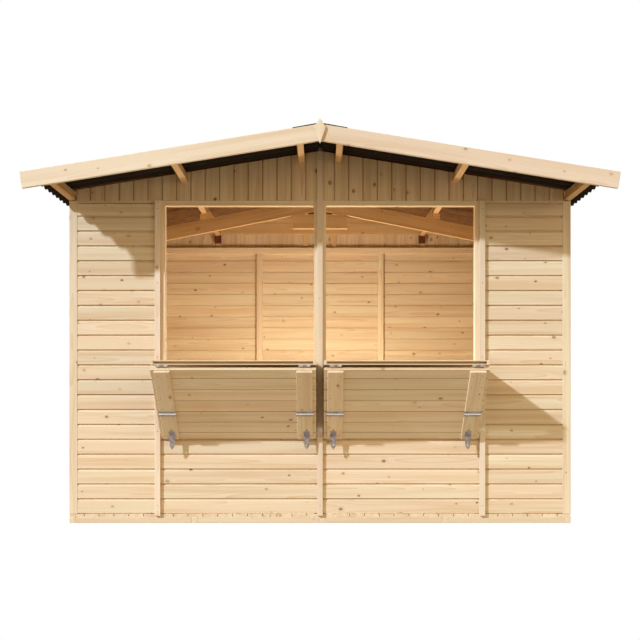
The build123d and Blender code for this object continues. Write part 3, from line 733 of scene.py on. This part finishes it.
FINISHES = {
    "wall boards": lambda name: wood(name, Contrast=1.25),
    # the gable boards' darker, more saturated pale is painted shade, for the shade under the roof's
    # overhang
    "gable boards": lambda name: wood(name, Pale=(0.83, 0.66, 0.42, 1), Knots=0.6,
                                      Knot_Size=0.0072, Contrast=1.7),
    "framing": lambda name: wood(name, Pale=(0.93, 0.80, 0.56, 1), Knots=0.4,
                                 Knot_Size=0.0065),
    "floor timber": lambda name: wood(name, Knots=0.3, Contrast=1.15),
    "roof timber": lambda name: wood(name, Pale=(0.80, 0.55, 0.28, 1),
                                     Late=(0.62, 0.34, 0.14, 1), Blush=(0.76, 0.48, 0.24, 1),
                                     Knots=0.5, Knot_Size=0.007, Contrast=1.2),
    "hatch boards": lambda name: wood(name, Knots=0.6, Contrast=1.1),
    "trim": lambda name: wood(name, Pale=(0.88, 0.745, 0.555, 1), Blush=(0.87, 0.70, 0.54, 1),
                              Knots=0.5, Knot_Size=0.0048, Contrast=0.85),
    # near-black reddish-brown wood for the purlin rests: painted shade, standing in for the shadow
    # they sit in
    "stained block": lambda name: wood(name, Pale=(0.16, 0.045, 0.022, 1),
                                       Late=(0.09, 0.022, 0.012, 1),
                                       Blush=(0.13, 0.035, 0.02, 1)),
    # darker copy of the zinc for the braces' ironwork and hasps: painted shade, for the shade on
    # the braces' faces
    "dull zinc": lambda name: mottled(name, 0.0002, 0.5, 0.85, Size=55.0,
                                      Dark=(0.27, 0.245, 0.265, 1),
                                      Bright=(0.50, 0.46, 0.48, 1),
                                      Least_Roughness=0.34, Most_Roughness=0.55),
    # near-white copy of the zinc for the hinge knuckles: a painted highlight
    "rubbed zinc": lambda name: mottled(name, 0.0001, 0.5, 0.6, Size=80.0,
                                        Dark=(0.80, 0.79, 0.78, 1),
                                        Bright=(0.95, 0.94, 0.93, 1),
                                        Least_Roughness=0.28, Most_Roughness=0.42),
    # light copy of the zinc for the hinges on the sills and counters, which face the light, and for
    # the door ironwork: partly the zinc's own colour, partly painted light
    "zinc": lambda name: mottled(name, 0.0002, 0.5, 0.85, Size=55.0,
                                 Dark=(0.50, 0.48, 0.49, 1), Bright=(0.86, 0.84, 0.84, 1),
                                 Least_Roughness=0.32, Most_Roughness=0.52),
    "nail heads": lambda name: mottled(name, 0.0001, 0.4, 0.6, Size=90.0,
                                       Dark=(0.045, 0.04, 0.038, 1),
                                       Bright=(0.13, 0.115, 0.105, 1),
                                       Least_Roughness=0.4, Most_Roughness=0.6),
    "bitumen": lambda name: mottled(name, 0.0009, 0.1, Size=26.0,
                                    Dark=rgba(bpy.context.scene.stall_roof.black),
                                    Bright=(0.038, 0.034, 0.033, 1),
                                    Least_Roughness=0.72, Most_Roughness=0.9),
    "bitumen underside": underside,
}


# ---------------------------------------------------------------- walls
class STALL_OT_walls(bpy.types.Operator):
    """Lapped boarding of the walls, the front panels and the skirts under the counters"""

    bl_idname = "stall.walls"
    bl_label = "Wall boards"

    def execute(self, context):
        s = sizes()
        for name, seed, axes in (("left_wall", 11, LEFT), ("front_panel_left", 12, FRONT),
                                 ("front_panel_right", 13, FRONT), ("front_skirts", 14, FRONT)):
            pile = Pile(seed)
            wall(pile, name, axes, (0.0,) if name == "left_wall" else (),
                 name != "front_skirts")
            pile.piece(f"{name}_boards", "wall boards", "stall", "wall_boards", name)
        back_joint = max(spread(p)[0][0] + spread(p)[1][0]
                         for p in solids("cover_battens") if spread(p)[0][1] > 0) / 2
        pile = Pile(15)
        wall(pile, "back_wall", BACK, (-back_joint, back_joint))
        pile.piece("back_wall_boards", "wall boards", "stall", "wall_boards", "back_wall")
        self.right_wall(s)
        return {"FINISHED"}

    def right_wall(self, s):
        """Boards round the doorway: a low run beside it and full runs over it."""
        points = solids("right_wall")[0]
        low, high = spread(points, RIGHT)
        beside = np.unique(np.round(points[:, 1], 4))
        doorway = beside[(beside > low[0] + 0.01) & (beside < high[0] - 0.01)][0]
        heights = np.unique(np.round(points[:, 2], 4))
        lintel = heights[(heights > low[1] + 0.01) & (heights < high[1] - 0.01)][-1]
        lintel = s.course_low + round((lintel - s.course_low) / s.cover) * s.cover
        back, face = low[2], high[2] - s.recess
        top = high[1] - s.lath
        pile = Pile(16)
        courses(pile, low[0], -SLACK, low[1], top, RIGHT, back, face)
        courses(pile, SLACK, doorway, low[1], lintel, RIGHT, back, face)
        courses(pile, SLACK, high[0], lintel, top, RIGHT, back, face)
        for start, end in ((low[0], -SLACK), (SLACK, high[0])):
            strip(pile, start, end, RIGHT, top, high[1], back, face)
        pile.piece("right_wall_boards", "wall boards", "stall", "wall_boards", "right_wall")


class STALL_OT_gables(bpy.types.Operator):
    """Upright tongued boards of the gables, with the planks and uprights inside them"""

    bl_idname = "stall.gables"
    bl_label = "Gables"

    def execute(self, context):
        s = sizes()
        slope = context.scene.stall_roof.pitch
        for name, side, seed in (("front", -1, 21), ("back", 1, 22)):
            outer = (Z, X, side * Y)
            points = solids(f"{name}_gable")[0]
            low, high = spread(points, outer)
            depths = np.unique(np.round(points @ outer[2], 4))
            steps = np.unique(np.round(points[:, 2], 4))
            rebate, foot, face = depths[1], steps[1], high[2] - s.recess
            rear_joint, foot_joint = 0.005, 0.0055
            pile = Pile(seed)
            for cut, across in ((math.tan(slope), (low[1], 0)), (-math.tan(slope), (0, high[1]))):
                for a0, a1 in lanes(across, s.gable_cover, 0):
                    upper = tongued_board(a0, a1, low[2], face, s.gable_gap, s.gable_deep,
                                          rear_joint)
                    lower = tongued_board(a0, a1, rebate, face, s.gable_gap, foot_joint)
                    like = pile.run(upper, foot, high[0], outer, (0, cut), soft=SLACK)
                    pile.run(lower, low[0], foot, outer, soft=SLACK, like=like)
            pile.piece(f"{name}_gable_boards", "gable boards", "stall", "wall_boards",
                       f"{name}_gable")
        self.planks(slope)
        uprights = Pile(24)
        for points in solids("gable_uprights"):
            uprights.slab(points, (Y, X, Z), (2, 1, 0))
        uprights.piece("gable_upright_laths", "roof timber", "stall", "frame_timber",
                       "gable_uprights")
        rests = Pile(25)
        for points in solids("purlin_blocks"):
            rests.slab(points, (Y, X, Z), (1, 2, 0))
        rests.piece("purlin_rests", "stained block", "stall", "frame_timber", "purlin_blocks")
        return {"FINISHED"}

    def planks(self, slope):
        """Two planks, one above the other, whose ends follow the roof."""
        low, high = spread(np.concatenate(solids("gable_planks")), FRONT)
        reach = high[1] / math.tan(slope)
        cuts = (1 / math.tan(slope), -1 / math.tan(slope))
        middle = (low[1] + high[1]) / 2
        thick, under_roof, seam, seam_deep = 0.018, 0.004, 0.0015, 0.002
        pile = Pile(23)
        for side in (-1, 1):
            for bottom, top in ((low[1], middle), (middle, high[1] - under_roof)):
                outline = tongued_board(bottom, top, -high[2], thick - high[2], seam, seam_deep)
                pile.run(outline, -reach, reach, (X, Z, -side * Y), cuts, soft=DRAWN)
        pile.piece("gable_inner_planks", "roof timber", "stall", "wall_boards", "gable_planks")


class STALL_OT_framing(bpy.types.Operator):
    """Posts, studs, rails, sills and the cover battens over the wall joints"""

    bl_idname = "stall.framing"
    bl_label = "Framing"

    def execute(self, context):
        for node, seed, name, slot in (
                ("back_wall_studs", 31, "back_studs", "frame_timber"),
                ("side_wall_studs", 32, "side_posts", "frame_timber"),
                ("wall_rails", 33, "wall_rail_timbers", "frame_timber"),
                ("opening_rails", 34, "sills_and_heads", "frame_timber"),
                ("cover_battens", 35, "cover_strips", "trim_timber")):
            pile = Pile(seed)
            for points in solids(node):
                pile.timber(points)
            pile.piece(name, "framing" if slot == "frame_timber" else "trim", "stall", slot,
                       node)
        self.posts()
        return {"FINISHED"}

    def posts(self):
        """Front posts: a square back the whole way up, and above the sill a forward part."""
        soft, square = sizes().arris, 1e-5
        sill = corner("opening_rails", 0, 2)
        split = corner("front_skirts", 1, 1)
        pile = Pile(36)
        for points in solids("front_posts"):
            low, high = spread(points)
            if low[1] > split - NEAR:
                pile.timber(points)
                continue
            rear = np.array([(low[0], split), (high[0], split), (high[0], high[1]),
                             (low[0], high[1])])
            fore = np.array([(low[0], low[1]), (high[0], low[1]), (high[0], split),
                             (low[0], split)])
            axes = (Z, X, Y)
            like = pile.run(eased(rear, (square, square, soft, soft)), low[2], high[2], axes)
            pile.run(eased(fore, (soft, soft, square, square)), sill, high[2], axes, like=like)
        pile.piece("post_timbers", "framing", "stall", "frame_timber", "front_posts")


class STALL_OT_ground(bpy.types.Operator):
    """Floor boards on their joists and rims"""

    bl_idname = "stall.ground"
    bl_label = "Floor"

    def execute(self, context):
        s = sizes()
        low, high = spread(solids("floor")[0])
        pile = Pile(41)
        for start, end in ((low[0], 0.0), (0.0, high[0])):
            tongued(pile, low[1] + s.floor_back, high[1] - s.floor_back, (Y, X, Z),
                    (start, end), low[2], high[2], s.floor_cover, start, deep=s.floor_deep)
        pile.piece("floor_planks", "floor timber", "stall", "floor_timber", "floor")
        pile = Pile(42)
        for points in solids("floor_joists") + solids("floor_rims"):
            pile.timber(points, soft=0.0022)
        pile.piece("ground_timbers", "floor timber", "stall", "floor_timber", "floor_joists",
                   "floor_rims")
        return {"FINISHED"}


# ---------------------------------------------------------------- roof
class STALL_OT_roof_timbers(bpy.types.Operator):
    """Purlins, the truss under them, the barge boards and the finials"""

    bl_idname = "stall.roof_timbers"
    bl_label = "Roof timbers"

    def execute(self, context):
        roof = context.scene.stall_roof
        pile = Pile(51)
        for points in solids("purlins"):
            pile.timber(points, roof_axes(np.sign(points[:, 0].mean()), roof.pitch))
        pile.piece("purlin_timbers", "roof timber", "stall", "roof_timber", "purlins")
        truss = Pile(52)
        for points in solids("truss_rafters"):
            truss.slab(points, roof_axes(np.sign(points[:, 0].mean()), roof.rafter_pitch))
        for points in solids("truss_tie") + solids("rafter_packers"):
            truss.slab(points, (Y, X, Z))
        truss.piece("truss_timbers", "roof timber", "stall", "roof_timber", "truss_rafters",
                    "truss_tie", "rafter_packers")
        barges = Pile(53)
        for points in solids("front_barge_boards") + solids("back_barge_boards"):
            barges.slab(points, roof_axes(np.sign(points[:, 0].mean()), roof.pitch), soft=0.0022)
        barges.piece("barge_trim", "trim", "stall", "trim_timber", "front_barge_boards",
                     "back_barge_boards")
        kites = Pile(54)
        for points in solids("finials"):
            kites.slab(points, (Y, X, Z), (2, 1, 0), soft=0.0022)
        kites.piece("finial_kites", "trim", "stall", "trim_timber", "finials")
        return {"FINISHED"}


class STALL_OT_sheeting(bpy.types.Operator):
    """Corrugated roof sheets, the ridge cap and the caps of their nails"""

    bl_idname = "stall.sheeting"
    bl_label = "Roof sheets"

    def execute(self, context):
        roof = context.scene.stall_roof
        caps = Heads()
        for name, side in SIDES.items():
            node = f"roof_sheet_{name}"
            axes = roof_axes(side, roof.pitch)
            low, high = spread(solids(node)[0], axes)
            self.sheets(roof, node, axes, low, high)
            for points in solids("purlins"):
                if points[:, 0].mean() * side > 0:
                    middle = sum(spread(points, axes))[1] / 2
                    self.nails(roof, caps, axes, low, high, middle)
        caps.piece("roof_nail_caps", "bitumen", "stall", "roof_sheet", around=10)
        self.cap()
        return {"FINISHED"}

    def sheets(self, roof, node, axes, low, high):
        """Each sheet is a closed shell on a grid of stations along the ridge and down the slope.

        Half waves are arcs of circles, turned up and down in turn. Each sheet's first wave
        lies on the last wave of the sheet before it, raised by the sheet's thickness.
        """
        half_wave = (high[0] - low[0]) / (2 * roof.waves)
        thick = sizes().sheet
        frame_sheet = 0.003        # thickness of the sheets in the frame
        rise = (high[2] - low[2] - frame_sheet) / 2
        radius = (half_wave ** 2 / 4 + rise ** 2) / (2 * rise)
        points, faces, under = [], [], []
        count = 0
        share_of = roof.waves // roof.sheets
        steps_in_wave = 16
        for k in range(roof.sheets):
            first = k * share_of - (1 if k else 0)
            last = (k + 1) * share_of if k < roof.sheets - 1 else roof.waves
            v = np.linspace(first * 2 * half_wave, last * 2 * half_wave,
                            (last - first) * steps_in_wave + 1)
            nth = np.minimum(np.floor(v / half_wave + 1e-9), 2 * roof.waves - 1)
            local = v - (nth + 0.5) * half_wave
            arc = np.sqrt(radius ** 2 - local ** 2) - (radius - rise)
            wave = np.where(nth % 2 > 0, 1, -1) * arc
            lap = thick * np.clip((3 * half_wave - (v - v[0])) / half_wave, 0, 1) if k else 0.0
            centre = low[2] + rise + wave + lap
            u = np.linspace(low[1], high[1], 9)
            grid_v, grid_u = np.meshgrid(low[0] + v, u, indexing="ij")
            top = np.stack((grid_v, grid_u, np.broadcast_to((centre + thick)[:, None],
                                                            grid_v.shape)), -1)
            bottom = np.stack((grid_v, grid_u, np.broadcast_to(centre[:, None],
                                                               grid_v.shape)), -1)
            rows, columns = grid_v.shape
            index = count + np.arange(rows * columns).reshape(rows, columns)
            lower = index + rows * columns
            quad = np.stack((index[:-1, :-1], index[1:, :-1], index[1:, 1:], index[:-1, 1:]), -1)
            quad = quad.reshape(-1, 4)
            base = np.stack((lower[:-1, :-1], lower[:-1, 1:], lower[1:, 1:], lower[1:, :-1]), -1)
            base = base.reshape(-1, 4)
            ring = np.concatenate((index[:, 0], index[-1, 1:], index[-2::-1, -1],
                                   index[0, -2:0:-1]))
            rim = np.stack((ring, ring + rows * columns,
                            np.roll(ring, -1) + rows * columns, np.roll(ring, -1)), -1)
            shell = np.concatenate((quad, base, rim))
            if np.dot(np.cross(axes[0], axes[1]), axes[2]) < 0:
                shell = shell[:, ::-1]
            points.append(np.concatenate((top.reshape(-1, 3), bottom.reshape(-1, 3)))
                          @ np.array(axes))
            faces += shell.tolist()
            under += [0] * len(quad) + [1] * (len(base) + len(rim))
            count += 2 * rows * columns
        mesh = bpy.data.meshes.new(node)
        mesh.from_pydata(np.concatenate(points), [], faces)
        mesh.polygons.foreach_set("material_index", under)
        mesh.shade_smooth()
        mesh.set_sharp_from_angle(angle=SMOOTH)
        settle(f"{node}_waves", mesh, ["bitumen", "bitumen underside"], "stall", "roof_sheet",
               node)

    def nails(self, roof, caps, axes, low, high, middle):
        """A cap on every second crest over a purlin."""
        wave = (high[0] - low[0]) / roof.waves
        crest, radius, height, sunk = 0.75, 0.011, 0.0045, 0.0006
        for k in range(0, roof.waves, 2):
            spot = np.array((low[0] + (k + crest) * wave, middle, high[2] - sunk))
            caps.add(spot @ np.array(axes), axes[2], radius, height)

    def cap(self):
        """The ridge cap's bent section, rounded along the top, carried from end to end."""
        points = solids("ridge_cap")[0]
        low, high = spread(points)
        section = np.unique(np.round(points[:, (0, 2)], 5), axis=0)
        peak_half, bend_half, bend_drop, hem_in, hem_drop = 0.1, 0.02, 0.0032, 0.955, 0.0016
        wing = section[section[:, 0] > peak_half]
        crest = section[np.abs(section[:, 0]) < peak_half]
        foot, tip = wing[np.argsort(wing[:, 1])] * (hem_in, 1) - (0, hem_drop)
        throat, peak = crest[np.argsort(crest[:, 1])]
        bend = np.linspace(-1, 1, 9)
        sag = bend_drop * (0.5 + 0.5 * bend ** 2)
        round_top = np.stack((bend_half * bend, peak[1] - sag), 1)
        round_low = np.stack((bend_half * bend, throat[1] - sag), 1)
        mirror = np.array((-1, 1))
        outline = np.concatenate((round_low, [foot], [tip], round_top[::-1], [tip * mirror],
                                  [foot * mirror]))
        pile = Pile(55)
        pile.run(outline, low[1], high[1], (Y, X, Z), soft=0.0004)
        pile.piece("ridge_capping", "bitumen", "stall", "roof_sheet", "ridge_cap")


# ---------------------------------------------------------------- counters and braces
class STALL_OT_counters(bpy.types.Operator):
    """Folding counters of three boards, with end cleats and a grooved front edge"""

    bl_idname = "stall.counters"
    bl_label = "Counters"

    def execute(self, context):
        s = sizes()
        for seed, name in ((61, "left_counter"), (62, "right_counter")):
            low, high = spread(solids(name)[0])
            edges = np.linspace(low[1], high[1], 4)
            lip_up, lip_low = high[2] - s.counter_lip, low[2] + s.counter_foot
            start, end = low[0] + s.cleat, high[0] - s.cleat
            c, seam, seam_deep, crisp = s.arris, 0.0016, 0.002, 0.0004
            front = np.array([(edges[0] + c, low[2]), (edges[1], low[2]), (edges[1], high[2]),
                              (edges[0] + c, high[2]), (edges[0], high[2] - c),
                              (edges[0], lip_up), (edges[0] + s.groove, lip_up),
                              (edges[0] + s.groove, lip_low), (edges[0], lip_low),
                              (edges[0], low[2] + c)])
            pile = Pile(seed)
            pile.run(front, start, end, (X, Y, Z), soft=crisp)
            for a0, a1 in zip(edges[1:], edges[2:]):
                pile.run(tongued_board(a0, a1, low[2], high[2], seam, seam_deep), start, end,
                         (X, Y, Z), soft=crisp)
            for x0, x1 in ((low[0], start), (end, high[0])):
                box = np.array([(low[2], x0), (high[2], x0), (high[2], x1), (low[2], x1)])
                pile.run(eased(box, c), low[1], high[1], (Y, Z, X), soft=c)
            pile.piece(f"{name}_boards", "hatch boards", name, "counter_boards", name)
        return {"FINISHED"}


class STALL_OT_braces(bpy.types.Operator):
    """Boarded braces under the counters, in two leaves, with battens down their outer face"""

    bl_idname = "stall.braces"
    bl_label = "Braces"

    def execute(self, context):
        s = sizes()
        axes = brace_axes(s.brace_tilt)
        for seed, name in ((71, "left_brace"), (72, "right_brace")):
            leaves = sorted((spread(p, axes) for p in solids(name)), key=lambda b: b[0][1])
            split = (leaves[0][1][1] + leaves[1][0][1]) / 2
            pile = Pile(seed)
            for k, (low, high) in enumerate(leaves):
                top = low[1] + (0 if k else s.brace_drop)
                tongued(pile, low[0], high[0], axes, (top, high[1]), low[2], high[2],
                        s.hatch_cover, split)
            pile.piece(f"{name}_boards", "hatch boards", name, "counter_boards", name)
            pile = Pile(seed + 10)
            for points in solids(f"{name}_battens"):
                pile.timber(points, axes, soft=0.002)
            pile.piece(f"{name}_batten_boards", "hatch boards", name, "counter_boards",
                       f"{name}_battens")
        return {"FINISHED"}


class STALL_OT_door(bpy.types.Operator):
    """Side door of upright boards on two ledges"""

    bl_idname = "stall.door"
    bl_label = "Side door"

    def execute(self, context):
        s = sizes()
        points = solids("side_door")[0]
        leaf = points[points[:, 0] > np.unique(np.round(points[:, 0], 4))[0] + NEAR]
        low, high = spread(leaf)
        outer = spread(points)[1][0]
        axes = (Z, Y, X)
        count = round((high[1] - low[1]) / s.hatch_cover)
        pile = Pile(81)
        tongued(pile, low[2], high[2], axes, (low[1], high[1]), low[0], outer - s.recess,
                (high[1] - low[1]) / count, low[1])
        ledge = points[points[:, 0] < low[0] - NEAR]
        heights = np.unique(np.round(ledge[:, 2], 4)).reshape(-1, 2)
        y0, y1 = ledge[:, 1].min(), ledge[:, 1].max()
        for z0, z1 in heights:
            box = [(ledge[:, 0].min(), y0, z0), (low[0], y1, z1)]
            pile.timber(np.array(box), soft=0.004)
        pile.piece("side_door_boards", "wall boards", "stall", "wall_boards", "side_door")
        return {"FINISHED"}


# ---------------------------------------------------------------- ironwork
class STALL_OT_ironwork(bpy.types.Operator):
    """Zinc on the hinges, hasps and straps, in a light copy and in copies painted with shade and
    highlight, and the heads of their screws
    """

    bl_idname = "stall.ironwork"
    bl_label = "Ironwork"

    def execute(self, context):
        # lit and shaded copies of one zinc: the light copy where the hinges face the light, the
        # darker copy on the braces, a painted difference in light
        looks = {"sill_hinges": "zinc", "door_ironwork": "zinc"}
        for side in SIDES:
            looks[f"{side}_counter_hinges"] = "zinc"
            looks[f"{side}_brace_ironwork"] = looks[f"{side}_hasps"] = "dull zinc"
        for name, look in looks.items():
            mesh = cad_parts[name].data
            mesh.materials.clear()
            mesh.materials.append(finish(look))
        self.fixed_screws()
        for side in SIDES:
            self.counter_screws(side)
            self.brace_screws(side, sizes())
            self.knuckles(side, sizes())
        return {"FINISHED"}

    def knuckles(self, side, s):
        """Knuckles of the wide hinges, in a near-white zinc that paints in their highlight: a
        circle carried along in five short lengths.
        """
        axes = brace_axes(s.brace_tilt)
        turn = np.arange(16) * math.pi / 8
        pin, joint = 0.004, 0.0003
        circle = s.knuckle * np.stack((np.cos(turn), np.sin(turn)), 1)
        pile = Pile(91)
        for points in solids(f"{side}_brace_ironwork"):
            low, high = spread(points, axes)
            if high[0] - low[0] < WIDE_HINGE:
                continue
            centre = ((low[1] + high[1]) / 2, high[2] - pin)
            marks = np.linspace(low[0], high[0], 6)
            for start, end in zip(marks, marks[1:]):
                pile.run(circle + centre, start + joint, end - joint, axes, soft=joint)
        pile.piece(f"{side}_hinge_knuckles", "rubbed zinc", f"{side}_brace", "zinc_steel")

    def leaf_screws(self, heads, low, high, y, z, out):
        """Three screws along a hinge's leaf, clear of its ends."""
        heads.row((low[0] + 0.01, y, z), (high[0] - 0.01, y, z), 3, out)

    def fixed_screws(self):
        """Screws of what stays put, and the nails down the cover battens."""
        heads = Heads()
        for points in solids("sill_hinges"):
            low, high = spread(points)
            self.leaf_screws(heads, low, high, high[1] - 0.009, low[2] + LEAF, Z)
        for points in solids("door_ironwork"):
            low, high = spread(points)
            if high[1] - low[1] > 0.2:
                middle = (low[2] + high[2]) / 2
                heads.row((low[0] + LEAF, low[1] + 0.015, middle),
                          (low[0] + LEAF, high[1] - 0.045, middle), 5, X, 0.006, 0.003)
        heads.piece("fixed_screws", "zinc", "stall", "zinc_steel")
        nails = Heads()
        for points in solids("cover_battens"):
            low, high = spread(points)
            out = np.zeros(3)
            flat = 1 if high[0] - low[0] > high[1] - low[1] else 0
            out[flat] = np.sign(low[flat] + high[flat])
            face = (high if out[flat] > 0 else low)[flat]
            start, end = (low + high) / 2, (low + high) / 2
            start[flat] = end[flat] = face
            start[2], end[2] = low[2] + 0.06, high[2] - 0.05
            nails.row(start, end, max(2, round((end[2] - start[2]) / 0.36)), out, 0.0026, 0.0008)
        nails.piece("batten_nails", "nail heads", "stall", "zinc_steel")

    def counter_screws(self, side):
        """Screws of a counter's hinges, on its top along the sill and under it by the brace."""
        heads = Heads()
        for points in solids(f"{side}_counter_hinges"):
            low, high = spread(points)
            if high[2] > corner(f"{side}_counter", 1, 2):
                self.leaf_screws(heads, low, high, low[1] + 0.009, low[2] + LEAF, Z)
            else:
                self.leaf_screws(heads, low, high, high[1] - 0.009, high[2] - LEAF, -Z)
        heads.piece(f"{side}_counter_screws", "zinc", f"{side}_counter", "zinc_steel")

    def brace_screws(self, side, s):
        """Screws of a brace's wide hinges and hasp plates, and those down its battens.

        One dark screw stands above each hasp plate.
        """
        axes = brace_axes(s.brace_tilt)

        def row(start, end, *rest):
            heads.row(np.array(start) @ axes, np.array(end) @ axes, *rest)

        battens = spread(np.concatenate(solids(f"{side}_brace_battens")), axes)[1][2]
        plate = battens + LEAF
        heads, dark = Heads(), Heads()
        for points in solids(f"{side}_brace_ironwork"):
            low, high = spread(points, axes)
            if high[0] - low[0] > WIDE_HINGE:
                for d in (low[1] + 0.008, high[1] - 0.008):
                    row((low[0] + 0.012, d, plate), (high[0] - 0.012, d, plate), 4, axes[2])
            elif high[0] - low[0] < HASP_PLATE:
                above = np.array(((low[0] + high[0]) / 2, low[1] - 0.009, battens)) @ axes
                dark.add(above, axes[2], 0.005, 0.001)
                for x in (low[0] + 0.007, high[0] - 0.007):
                    row((x, low[1] + 0.007, plate), (x, high[1] - 0.016, plate), 2, axes[2])
        for points in solids(f"{side}_brace_battens"):
            low, high = spread(points, axes)
            rows = round((high[1] - low[1]) / s.hatch_cover)
            for x in (low[0] + 0.018, high[0] - 0.018):
                row((x, low[1] + 0.03, high[2]), (x, high[1] - 0.035, high[2]), rows, axes[2],
                    0.0034, 0.0008)
        heads.piece(f"{side}_brace_screws", "dull zinc", f"{side}_brace", "zinc_steel")
        dark.piece(f"{side}_hasp_screws", "nail heads", f"{side}_brace", "zinc_steel")


# ---------------------------------------------------------------- stage
def floor_finish(near, far):
    """A floor that the camera sees as plain white, and that throws up less light farther off."""
    material = bpy.data.materials.new("pale floor")
    material.use_nodes = True
    tree = material.node_tree
    tree.nodes.clear()
    n = Wiring(tree)
    path = n.add("LightPath").outputs["Is Camera Ray"]
    away = n.ramp(n.reach(n.add("TexCoord").outputs["Object"]), 3.2, 5.2)
    felt = n.add("Emission", n.mix(away, rgba(near), rgba(far)), 1.0)
    seen = n.add("Emission", (1.0, 1.0, 1.0, 1.0), 1.0)
    both = n.add("MixShader", path, felt.outputs[0], seen.outputs[0])
    n.add("OutputMaterial", both.outputs[0])
    return material


class STALL_OT_stage(bpy.types.Operator):
    """Camera, lamps, soft light and a plain pale floor"""

    bl_idname = "stall.stage"
    bl_label = "Stage"

    def execute(self, context):
        stage = context.scene.stall_stage
        context.scene.view_settings.view_transform = "Standard"
        self.camera(context, stage)
        self.floor(context, stage)
        self.sky(context, stage)
        key = self.lamp(context, "key lamp", stage.key_place, stage.key_power,
                        stage.key_tint, stage.key_soft)
        key.use_nodes = True
        n = Wiring(key.node_tree)
        even = n.add("LightFalloff", 1.0).outputs["Constant"]
        n.join(even, key.node_tree.nodes["Emission"].inputs["Strength"])
        self.lamp(context, "inside lamp", stage.lamp_place, stage.lamp_power,
                  stage.lamp_tint, stage.lamp_soft)
        self.lamp(context, "side fill", stage.side_place, stage.side_power,
                  stage.side_tint, stage.side_soft)
        self.fill(context, stage)
        return {"FINISHED"}

    def link(self, context, name, data, place):
        made = bpy.data.objects.new(name, data)
        made.location = place
        context.scene.collection.objects.link(made)
        return made

    def camera(self, context, stage):
        lens = bpy.data.cameras.new("camera")
        lens.lens = stage.lens
        lens.sensor_width = 36.0
        lens.shift_y = stage.rise
        lens.clip_end = 200.0
        wall = corner("front_skirts", 0, 1)
        camera = self.link(context, "camera", lens, (0.0, wall - stage.stand_off, stage.eye))
        camera.rotation_euler = (math.radians(90), 0.0, 0.0)
        context.scene.camera = camera

    def lamp(self, context, name, place, power, tint, soft):
        light = bpy.data.lights.new(name, "POINT")
        light.energy = power
        light.color = tint
        light.shadow_soft_size = soft
        self.link(context, name, light, place)
        return light

    def fill(self, context, stage):
        """A broad dim sun from behind, which keeps the back and the right side readable."""
        light = bpy.data.lights.new("rear fill", "SUN")
        light.energy = stage.fill_power
        light.color = (1.0, 0.97, 0.92)
        light.angle = math.radians(40)
        made = self.link(context, "rear fill", light, (0.0, 0.0, 5.0))
        made.rotation_euler = Vector((0.6, 0.8, 0.7)).to_track_quat("Z", "Y").to_euler()

    def floor(self, context, stage):
        """A flat disc: its rim is a circle."""
        sides, radius, below = 64, 40, 0.002
        turn = np.arange(sides) * 2 * math.pi / sides
        rim = np.stack((radius * np.cos(turn), radius * np.sin(turn), np.full(sides, -below)), 1)
        mesh = bpy.data.meshes.new("floor")
        mesh.from_pydata(rim, [], [list(range(sides))])
        mesh.materials.append(floor_finish(stage.floor_near, stage.floor_far))
        self.link(context, "pale_floor", mesh, (0.0, 0.0, 0.0))

    def sky(self, context, stage):
        world = bpy.data.worlds.new("sky")
        context.scene.world = world
        world.use_nodes = True
        tree = world.node_tree
        tree.nodes.clear()
        n = Wiring(tree)
        path = n.add("LightPath").outputs["Is Camera Ray"]
        warm = n.add("Background", (*stage.sky_tint, 1.0), stage.sky_power)
        white = n.add("Background", (1.0, 1.0, 1.0, 1.0), 1.0)
        both = n.add("MixShader", path, warm.outputs[0], white.outputs[0])
        n.add("OutputWorld", both.outputs[0])


# ---------------------------------------------------------------- panel and running order
OPERATORS = (STALL_OT_walls, STALL_OT_gables, STALL_OT_framing, STALL_OT_ground,
             STALL_OT_roof_timbers, STALL_OT_sheeting, STALL_OT_counters, STALL_OT_braces,
             STALL_OT_door, STALL_OT_ironwork, STALL_OT_stage)
GROUPS = {"stall_boards": StallBoards, "stall_wood": StallWood, "stall_roof": StallRoof,
          "stall_stage": StallStage}


class STALL_PT_panel(bpy.types.Panel):
    """Sizes, colours and the steps that build the stall"""

    bl_idname = "STALL_PT_panel"
    bl_label = "Market Stall"
    bl_space_type = "VIEW_3D"
    bl_region_type = "UI"
    bl_category = "Stall"

    def draw(self, context):
        for name in GROUPS:
            held = getattr(context.scene, name)
            box = self.layout.box()
            for key in held.bl_rna.properties.keys():
                if key not in ("rna_type", "name"):
                    box.prop(held, key)
        for kind in OPERATORS:
            self.layout.operator(kind.bl_idname)


def register():
    for kind in (*GROUPS.values(), *OPERATORS, STALL_PT_panel):
        bpy.utils.register_class(kind)
    for name, kind in GROUPS.items():
        setattr(bpy.types.Scene, name, bpy.props.PointerProperty(type=kind))


def unregister():
    for name in GROUPS:
        delattr(bpy.types.Scene, name)
    for kind in reversed((*GROUPS.values(), *OPERATORS, STALL_PT_panel)):
        bpy.utils.unregister_class(kind)


def main():
    """Builds the whole stall."""
    register()
    for kind in OPERATORS:
        group_name, step = kind.bl_idname.split(".")
        getattr(getattr(bpy.ops, group_name), step)()


if __name__ == "__main__":
    main()
